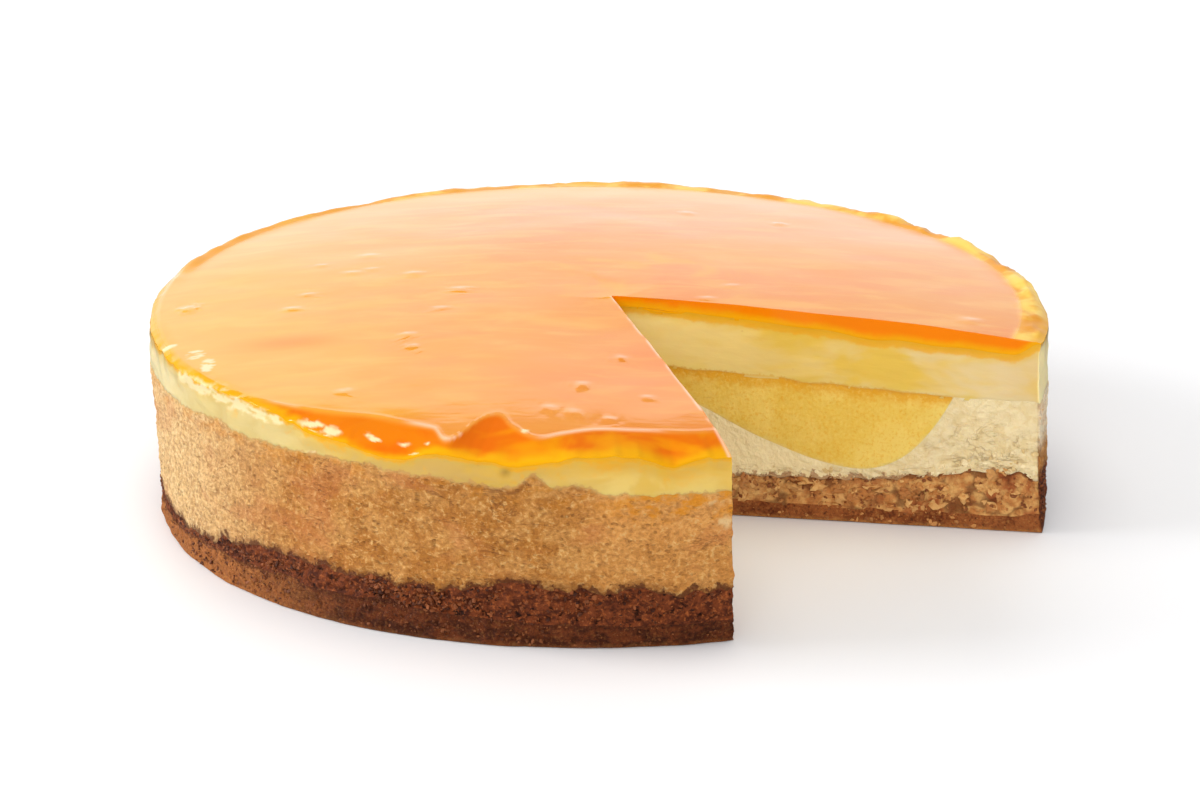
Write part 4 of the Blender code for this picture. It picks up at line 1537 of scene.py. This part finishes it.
@dataclass
class CitrusGlaze(LayerPiece):
    """The glaze over the top, with its ridge, its rolled edge, its lip and its bubbles."""

    name: str = "citrus_glaze_layer"
    node: str = "citrus_glaze"
    slot: str = "glaze"
    finish: LayerFinish = GlazeFinish()
    lower_border: Border = CakeShape.glaze_foot
    upper_border: Border = CakeShape.glaze_upper
    division: Division = Division(stations=(24, 22), rows=8, columns=(12, 11), lower_rings=8, fine_top=True,
                                  columns_bend=(0.55, 0.86))
    thinnest: float = 0.25
    # Width and place of the painted highlight lines on the ridge and along the far cut's edge.
    crest_width: float = 0.65
    crest_line: Swells = ((-100.0, 34.0, 1.0),)
    cut_edge_width: float = 0.45
    thin_left: Swells = ((-160.0, 24.0, 0.5), (160.0, 25.0, 0.7))
    left_line: Swells = ((-154.0, 18.0, 1.0),)
    amber_smear: Oval = (-77.0, -43.0, 14.0, 5.0)
    bubbles: Sequence[Bubble] = (
        Bubble(-72.7, 17.1, 1.2, 0.5), Bubble(-64.1, 7.7, 1.8, 0.5), Bubble(-59.2, 10.2, 1.4, 0.3),
        Bubble(-47.5, 3.6, 1.9, 0.6), Bubble(-60.4, 23.6, 2.0, 0.3), Bubble(-34.8, -10.9, 2.0, 0.55),
        Bubble(-39.6, -25.4, 1.6, 0.3), Bubble(-78.4, -18.4, 1.6, 0.6), Bubble(-74.9, -7.9, 1.4, 0.5),
        Bubble(-47.1, -44.2, 1.7, 0.5), Bubble(-45.8, -52.0, 1.3, 0.5), Bubble(-61.6, -79.3, 1.8, 0.2),
        Bubble(-106.2, -11.2, 2.4, 0.6), Bubble(26.1, 69.4, 1.8, 0.5), Bubble(51.6, 59.2, 1.5, 0.8),
        Bubble(29.9, -18.6, 1.6, 0.3), Bubble(98.1, -24.0, 2.2, 0.5), Bubble(36.5, -7.4, 1.6, 0.2),
        Bubble(-2.6, -77.9, 1.7, 0.6), Bubble(4.3, -97.8, 1.5, 0.4), Bubble(13.7, -84.9, 1.4, 0.5),
        Bubble(-4.8, -94.4, 1.6, 0.4), Bubble(-10.4, -92.0, 1.8, 0.3), Bubble(7.1, -60.1, 1.5, 0.4),
    )
    # Painted glints on the top by the left rim: x, y and half sizes of each.
    glints: Sequence[Oval] = (
        (-109.0, -38.0, 2.4, 1.8), (-101.5, -46.5, 2.6, 3.4), (-97.5, -54.0, 2.0, 4.0),
    )

    def upper(self, share: Array, angle: Array) -> Array:
        """Returns the glaze's top, never below its foot."""
        return np.maximum(super().upper(share, angle), self.lower(share, angle) + self.thinnest)

    def raise_relief(self, spread: Spread) -> Array:
        """Raises the shared relief and the bubbles."""
        points = super().raise_relief(spread)
        for bubble in self.bubbles:
            apart = np.hypot(points[:, 0] - bubble.x, points[:, 1] - bubble.y)
            near = (apart < bubble.radius * 4.0) & spread.on_top()
            uneven = 1.0 + 0.45 * rough(spread.points[near], 1.6, bubble.x)
            away = apart[near] / bubble.radius * uneven
            swell = np.exp(-(away**2)) - 0.2 * np.exp(-((away - 1.5) ** 2) * 3.0)
            points[near, 2] += 0.5 * bubble.rise * swell
        return points

    def crest_highlight(self, spread: Spread) -> Array:
        """Marks the painted highlight lines: along the ridge in front, behind each bubble, and along the far cut.
        """
        s = self.shape
        away = spread.share * s.rim_radius - through(s.ridge_line, spread.angle)
        crest_highlight = np.exp(-((away / self.crest_width) ** 2)) * bells(spread.angle, self.crest_line)
        crest_highlight = crest_highlight * smooth(-0.3, 0.5, rough(spread.points, 14.0, 3.0))
        for bubble in self.bubbles:
            behind = bubble.x, bubble.y + bubble.radius, 1.1 * bubble.radius, 0.5 * bubble.radius
            crest_highlight = crest_highlight + 0.7 * oval(spread.points, *behind)
        ahead = radians(s.far_cut_at_top)
        x, y = (spread.points[:, :2] - np.array(s.point)).T
        edge = np.exp(-(((x * sin(ahead) - y * cos(ahead)) / self.cut_edge_width) ** 2)) * (spread.turn > 0.5)
        edge = edge * smooth(-0.5, 0.3, rough(spread.points, 6.0, 8.0))
        return np.maximum(crest_highlight, edge) * spread.on_top()

    def painted_highlight(self, spread: Spread) -> Array:
        """Marks the painted highlights: the patches on the rim and the glints beside them."""
        painted_highlight = PaintedHighlightPatches().at(spread.points, spread.angle) * (spread.share > 0.9)
        for place in self.glints:
            glint = oval(spread.points, *place) * spread.on_top()
            near = glint > FAINT
            glint[near] *= 1.0 + 0.9 * rough(spread.points[near], (4.0, 1.2, 4.0), 6.0)
            painted_highlight = np.maximum(painted_highlight, smooth(0.35, 0.8, glint))
        return painted_highlight

    def extra(self, spread: Spread) -> Marks:
        """Stores where the glaze runs thin, rolls down or is stained, and where highlights are painted."""
        share, angle, outside = spread.share, spread.angle, 1.0 - spread.on_cut()
        rim = smooth(0.925, 0.955, share) * smooth(0.0, 0.5, self.shape.lip_share(angle))
        left = smooth(0.972, 0.992, share) * bells(angle, self.thin_left)
        ridge = through(self.shape.ridge_line, angle)
        roll = smooth(ridge - 0.4, ridge + 2.4, share * self.shape.rim_radius)
        roll = roll * smooth(-143.0, -131.0, turned(angle + 0.001)) * smooth(-50.0, -60.0, turned(angle))
        left_line = smooth(0.955, 0.98, share) * bells(angle, self.left_line)
        left_line = left_line * smooth(-0.6, 0.0, rough(spread.points, 6.0, 9.0))
        return {"thin": np.maximum(rim, left) * spread.on_top(), "crest_highlight": self.crest_highlight(spread),
                "painted_highlight": self.painted_highlight(spread), "amber": oval(spread.points, *self.amber_smear) * spread.on_top(),
                "left_line": left_line * outside, "roll": roll * outside}


@dataclass
class Bits:
    """Loose pieces stuck in the cake: nuts or crumbs, all of one kind in one mesh."""

    name: str
    slot: str
    finish: BitFinish
    seed: int
    smallest: float
    largest: float
    sides: int = 1
    flatness: Tuple[float, float] = (0.5, 0.9)
    narrowness: Tuple[float, float] = (0.65, 1.0)
    sunk: Tuple[float, float] = (0.12, 0.32)
    jitter: float = 0.3
    sharp_from: float = 30.0

    def template(self) -> Tuple[Array, Array]:
        """Models one bit.

        Returns:
            Its points, about 1 across, and its triangles.
        """
        Bench.clear_selection()
        bpy.ops.mesh.primitive_ico_sphere_add(subdivisions=self.sides, radius=0.5, location=(0.0, 0.0, 0.0))
        piece = bpy.context.active_object
        faces = np.array([list(face.vertices) for face in piece.data.polygons])
        points = Bench.points(piece)
        mesh = piece.data
        bpy.data.objects.remove(piece, do_unlink=True)
        bpy.data.meshes.remove(mesh)
        return points, faces

    def build(self, places: Array, inward: Array) -> bpy.types.Object:
        """Puts a bit at each place.

        Args:
            places: Where the bits lie, on the cake's surface.
            inward: The way into the cake at each place.

        Returns:
            The finished piece.
        """
        draw = np.random.default_rng(self.seed)
        corners, faces = self.template()
        all_points, all_faces, shades = [], [], []
        for index, (place, way) in enumerate(zip(places, inward)):
            size = self.smallest + (self.largest - self.smallest) * draw.random() ** 2
            scale = np.array([1.0, draw.uniform(*self.narrowness), draw.uniform(*self.flatness)]) * size
            turn = np.array(Matrix.Rotation(draw.uniform(0, 6.28), 3, Vector(draw.normal(size=3)).normalized()))
            jitter = 1.0 + self.jitter * draw.standard_normal(len(corners)).clip(-1.5, 1.5)
            sunk = place + way * size * draw.uniform(*self.sunk)
            bit = (corners * jitter[:, None] * scale) @ turn.T + sunk
            bit[:, 2] += max(0.0, -bit[:, 2].min())
            all_points.append(bit)
            all_faces.append(faces + index * len(corners))
            shades.append(np.full(len(corners), draw.random()))
        points, faces = np.concatenate(all_points), np.concatenate(all_faces)
        mesh = bpy.data.meshes.new(self.name)
        mesh.from_pydata((points * MM).tolist(), [], faces.tolist())
        piece = bpy.data.objects.new(self.name, mesh)
        bpy.context.scene.collection.objects.link(piece)
        Bench.write(piece, "shade", np.concatenate(shades))
        Bench.close_up(piece, self.sharp_from)
        mesh.materials.append(self.finish.make())
        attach(piece, BODY)
        return piece


@dataclass(frozen=True)
class Scatter:
    """Places for bits, drawn with a seed, between two heights and a little way into the cake."""

    shape: CakeShape
    seed: int
    count: int
    lower: Callable[[Array, Array], Array]
    upper: Callable[[Array, Array], Array]
    inset: float
    shares: Tuple[float, float] = (0.03, 0.99)
    turns: Tuple[float, float] = (0.004, 0.996)
    on_far_cut: float = 0.4

    def settle(self, turn: Array, share: Array, part: Array) -> Tuple[Array, Array, Array]:
        """Finds the places of bits.

        Args:
            turn: 0 on the near cut face to 1 on the far one.
            share: Share of the wall's radius.
            part: 0 at the lower height to 1 at the upper one.

        Returns:
            The places, the angle of each, and the heading from the slice's point to each.
        """
        true_share = np.maximum(share, self.shape.innermost())
        height = np.full(self.count, 10.0)
        for _ in range(2):
            x, y, heading = self.shape.plan(turn, share, height)
            angle = np.degrees(np.arctan2(y, x))
            height = mix(self.lower(true_share, angle), self.upper(true_share, angle), part)
        return np.column_stack([x, y, height]), angle, heading

    def on_cuts(self) -> Tuple[Array, Array]:
        """Draws places on both cut faces, and returns them with the way into the cake at each."""
        draw = np.random.default_rng(self.seed)
        turn = (draw.random(self.count) < self.on_far_cut).astype(float)
        share = draw.uniform(*self.shares, self.count)
        places, _, heading = self.settle(turn, share, draw.random(self.count))
        side = np.where(turn < 0.5, -1.0, 1.0)
        ahead = np.radians(heading)
        inward = np.column_stack([np.sin(ahead) * side, -np.cos(ahead) * side, np.zeros(self.count)])
        return places + inward * self.inset, inward

    def on_wall(self) -> Tuple[Array, Array]:
        """Draws places on the wall, and returns them with the way into the cake at each."""
        draw = np.random.default_rng(self.seed)
        turn = draw.uniform(*self.turns, self.count)
        places, angle, _ = self.settle(turn, np.ones(self.count), draw.random(self.count))
        out = np.radians(angle)
        inward = -np.column_stack([np.cos(out), np.sin(out), np.zeros(self.count)])
        return places + inward * self.inset, inward


@dataclass(frozen=True)
class Lamp:
    """One soft light: a flat panel that faces the cake."""

    name: str
    place: Tuple[float, float, float]
    width: float
    height: float
    radiance: float
    mirrored: bool = True
    aim: Tuple[float, float, float] = (0.0, 0.0, 0.04)

    def build(self) -> bpy.types.Object:
        """Hangs the light up, facing the cake."""
        light = bpy.data.lights.new(self.name, "AREA")
        light.shape = "RECTANGLE"
        light.size, light.size_y = self.width, self.height
        light.energy = self.radiance * np.pi * self.width * self.height
        holder = bpy.data.objects.new(self.name, light)
        holder.location = self.place
        holder.rotation_euler = (Vector(self.place) - Vector(self.aim)).to_track_quat("Z", "Y").to_euler()
        holder.visible_glossy = self.mirrored
        bpy.context.scene.collection.objects.link(holder)
        return holder


@dataclass(frozen=True)
class Studio:
    """The floor, the lights and the camera."""

    camera_place: Tuple[float, float, float] = (0.00182, -1.1326, 0.4216)
    camera_down: float = 19.33
    lens: float = 135.0
    sensor: float = 36.0
    lamps: Sequence[Lamp] = (
        Lamp("back_softbox", (0.0, 1.9, 0.42), 3.4, 1.56, 1.15),
        Lamp("left_key", (-1.6, 0.05, 0.78), 0.9, 0.8, 9.5),
        Lamp("overhead", (0.0, 0.1, 1.7), 1.6, 1.4, 1.15, mirrored=False),
        Lamp("front_fill", (0.15, -2.5, 1.0), 2.4, 1.3, 3.2, mirrored=False),
    )
    ambient: float = 0.58
    mirrored_above: float = 0.1
    mirrored_level: float = 0.12

    def floor(self) -> bpy.types.Object:
        """Lays the floor under the cake."""
        Bench.clear_selection()
        bpy.ops.mesh.primitive_plane_add(size=8.0, location=(0.0, 0.0, -0.0002))
        ground = bpy.context.active_object
        ground.name = "pale_floor"
        bpy.ops.object.transform_apply(location=True, rotation=True, scale=True)
        ground.data.materials.append(FloorFinish().make())
        ground.visible_glossy = False
        return ground

    def surroundings(self) -> None:
        """Makes the white room: bright to the camera, softer as light, and dim in reflections."""
        world = bpy.data.worlds.new("white_room")
        bpy.context.scene.world = world
        p = Palette(world)
        way = p.node("ShaderNodeTexCoord", {}, {}).outputs["Generated"]
        up = p.node("ShaderNodeSeparateXYZ", {}, {"Vector": way}).outputs["Z"]
        ends = {"From Min": 0.0, "From Max": 0.3, "To Min": self.mirrored_level, "To Max": self.mirrored_above}
        rise = p.node("ShaderNodeMapRange", {"interpolation_type": "SMOOTHSTEP"}, {"Value": up, **ends})
        lit, mirrored, seen = (
            p.node("ShaderNodeBackground", {}, {"Strength": strength, "Color": (1.0, 1.0, 1.0, 1.0)}).outputs[0]
            for strength in (self.ambient, rise.outputs["Result"], 1.0)
        )
        ray = p.node("ShaderNodeLightPath", {}, {}).outputs
        room = p.node("ShaderNodeMixShader", {}, {0: ray["Is Glossy Ray"], 1: lit, 2: mirrored}).outputs[0]
        room = p.node("ShaderNodeMixShader", {}, {0: ray["Is Camera Ray"], 1: room, 2: seen}).outputs[0]
        p.node("ShaderNodeOutputWorld", {}, {"Surface": room})

    def camera(self) -> bpy.types.Object:
        """Sets the camera up."""
        view = bpy.data.cameras.new("camera")
        view.lens = self.lens
        view.sensor_width = self.sensor
        view.clip_end = 50.0
        holder = bpy.data.objects.new("camera", view)
        holder.location = self.camera_place
        holder.rotation_euler = (radians(90.0 - self.camera_down), 0.0, 0.0)
        bpy.context.scene.collection.objects.link(holder)
        bpy.context.scene.camera = holder
        return holder

    def build(self) -> None:
        """Builds the whole studio."""
        self.floor()
        self.surroundings()
        for lamp in self.lamps:
            lamp.build()
        self.camera()
        settings = bpy.context.scene.view_settings
        settings.view_transform = "Standard"
        settings.look = "None"


@dataclass
class Cheesecake:
    """The whole cake: six layers, and the nuts and crumbs that stick out of them."""

    shape: CakeShape = field(default_factory=CakeShape)

    def layers(self) -> Sequence[LayerPiece]:
        """Lists the layers, from the bottom up."""
        kinds = (CrumbBase, NutCrumb, BakedCheese, LimeCurd, LimeMousse, CitrusGlaze)
        return [kind(self.shape) for kind in kinds]

    def bits(self) -> Sequence[bpy.types.Object]:
        """Scatters the nuts and crumbs."""
        s = self.shape
        nuts = BitFinish("pale_nuts", (222, 172, 104), (176, 112, 56))
        dark = BitFinish("dark_crumbs", (150, 82, 38), (66, 28, 12))
        sandy = BitFinish("sandy_grit", (142, 80, 38), (92, 46, 20))
        golden = BitFinish("golden_crumbs", (204, 142, 78), (128, 70, 32))
        curds = BitFinish("cream_crumbs", (240, 222, 178), (214, 184, 126))
        return (
            Bits("nut_pieces", "nut_crumb", nuts, 11, 1.4, 5.2, 2, (0.35, 0.7)).build(
                *Scatter(s, 21, 220, s.base_upper, s.crumb_upper, 0.45).on_cuts()),
            Bits("cut_crumbs", "nut_crumb", golden, 12, 0.6, 2.0).build(
                *Scatter(s, 22, 900, s.floor, s.crumb_upper, 0.15).on_cuts()),
            Bits("wall_crumbs", "nut_crumb", dark, 13, 0.5, 1.6).build(
                *Scatter(s, 23, 3400, s.base_upper, s.crumb_upper, 0.1).on_wall()),
            Bits("base_grit", "base_crumb", sandy, 15, 0.5, 1.5).build(
                *Scatter(s, 25, 2600, s.floor, s.base_upper, 0.15).on_wall()),
            Bits("cheese_crumbs", "baked_cheese", curds, 14, 0.6, 2.2).build(
                *Scatter(s, 24, 220, s.crumb_upper, s.fallen_upper, 0.1, (0.4, 0.99)).on_cuts()),
        )


def main() -> None:
    """Builds the cake and the studio, and reports each piece."""
    logging.basicConfig(level=logging.INFO, format="%(message)s")
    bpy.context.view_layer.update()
    cake = Cheesecake()
    for layer in cake.layers():
        piece = layer.build()
        LOG.info("%s: %d faces", piece.name, len(piece.data.polygons))
    for piece in cake.bits():
        LOG.info("%s: %d faces", piece.name, len(piece.data.polygons))
    Studio().build()
    bpy.context.view_layer.update()


if __name__ == "__main__":
    main()
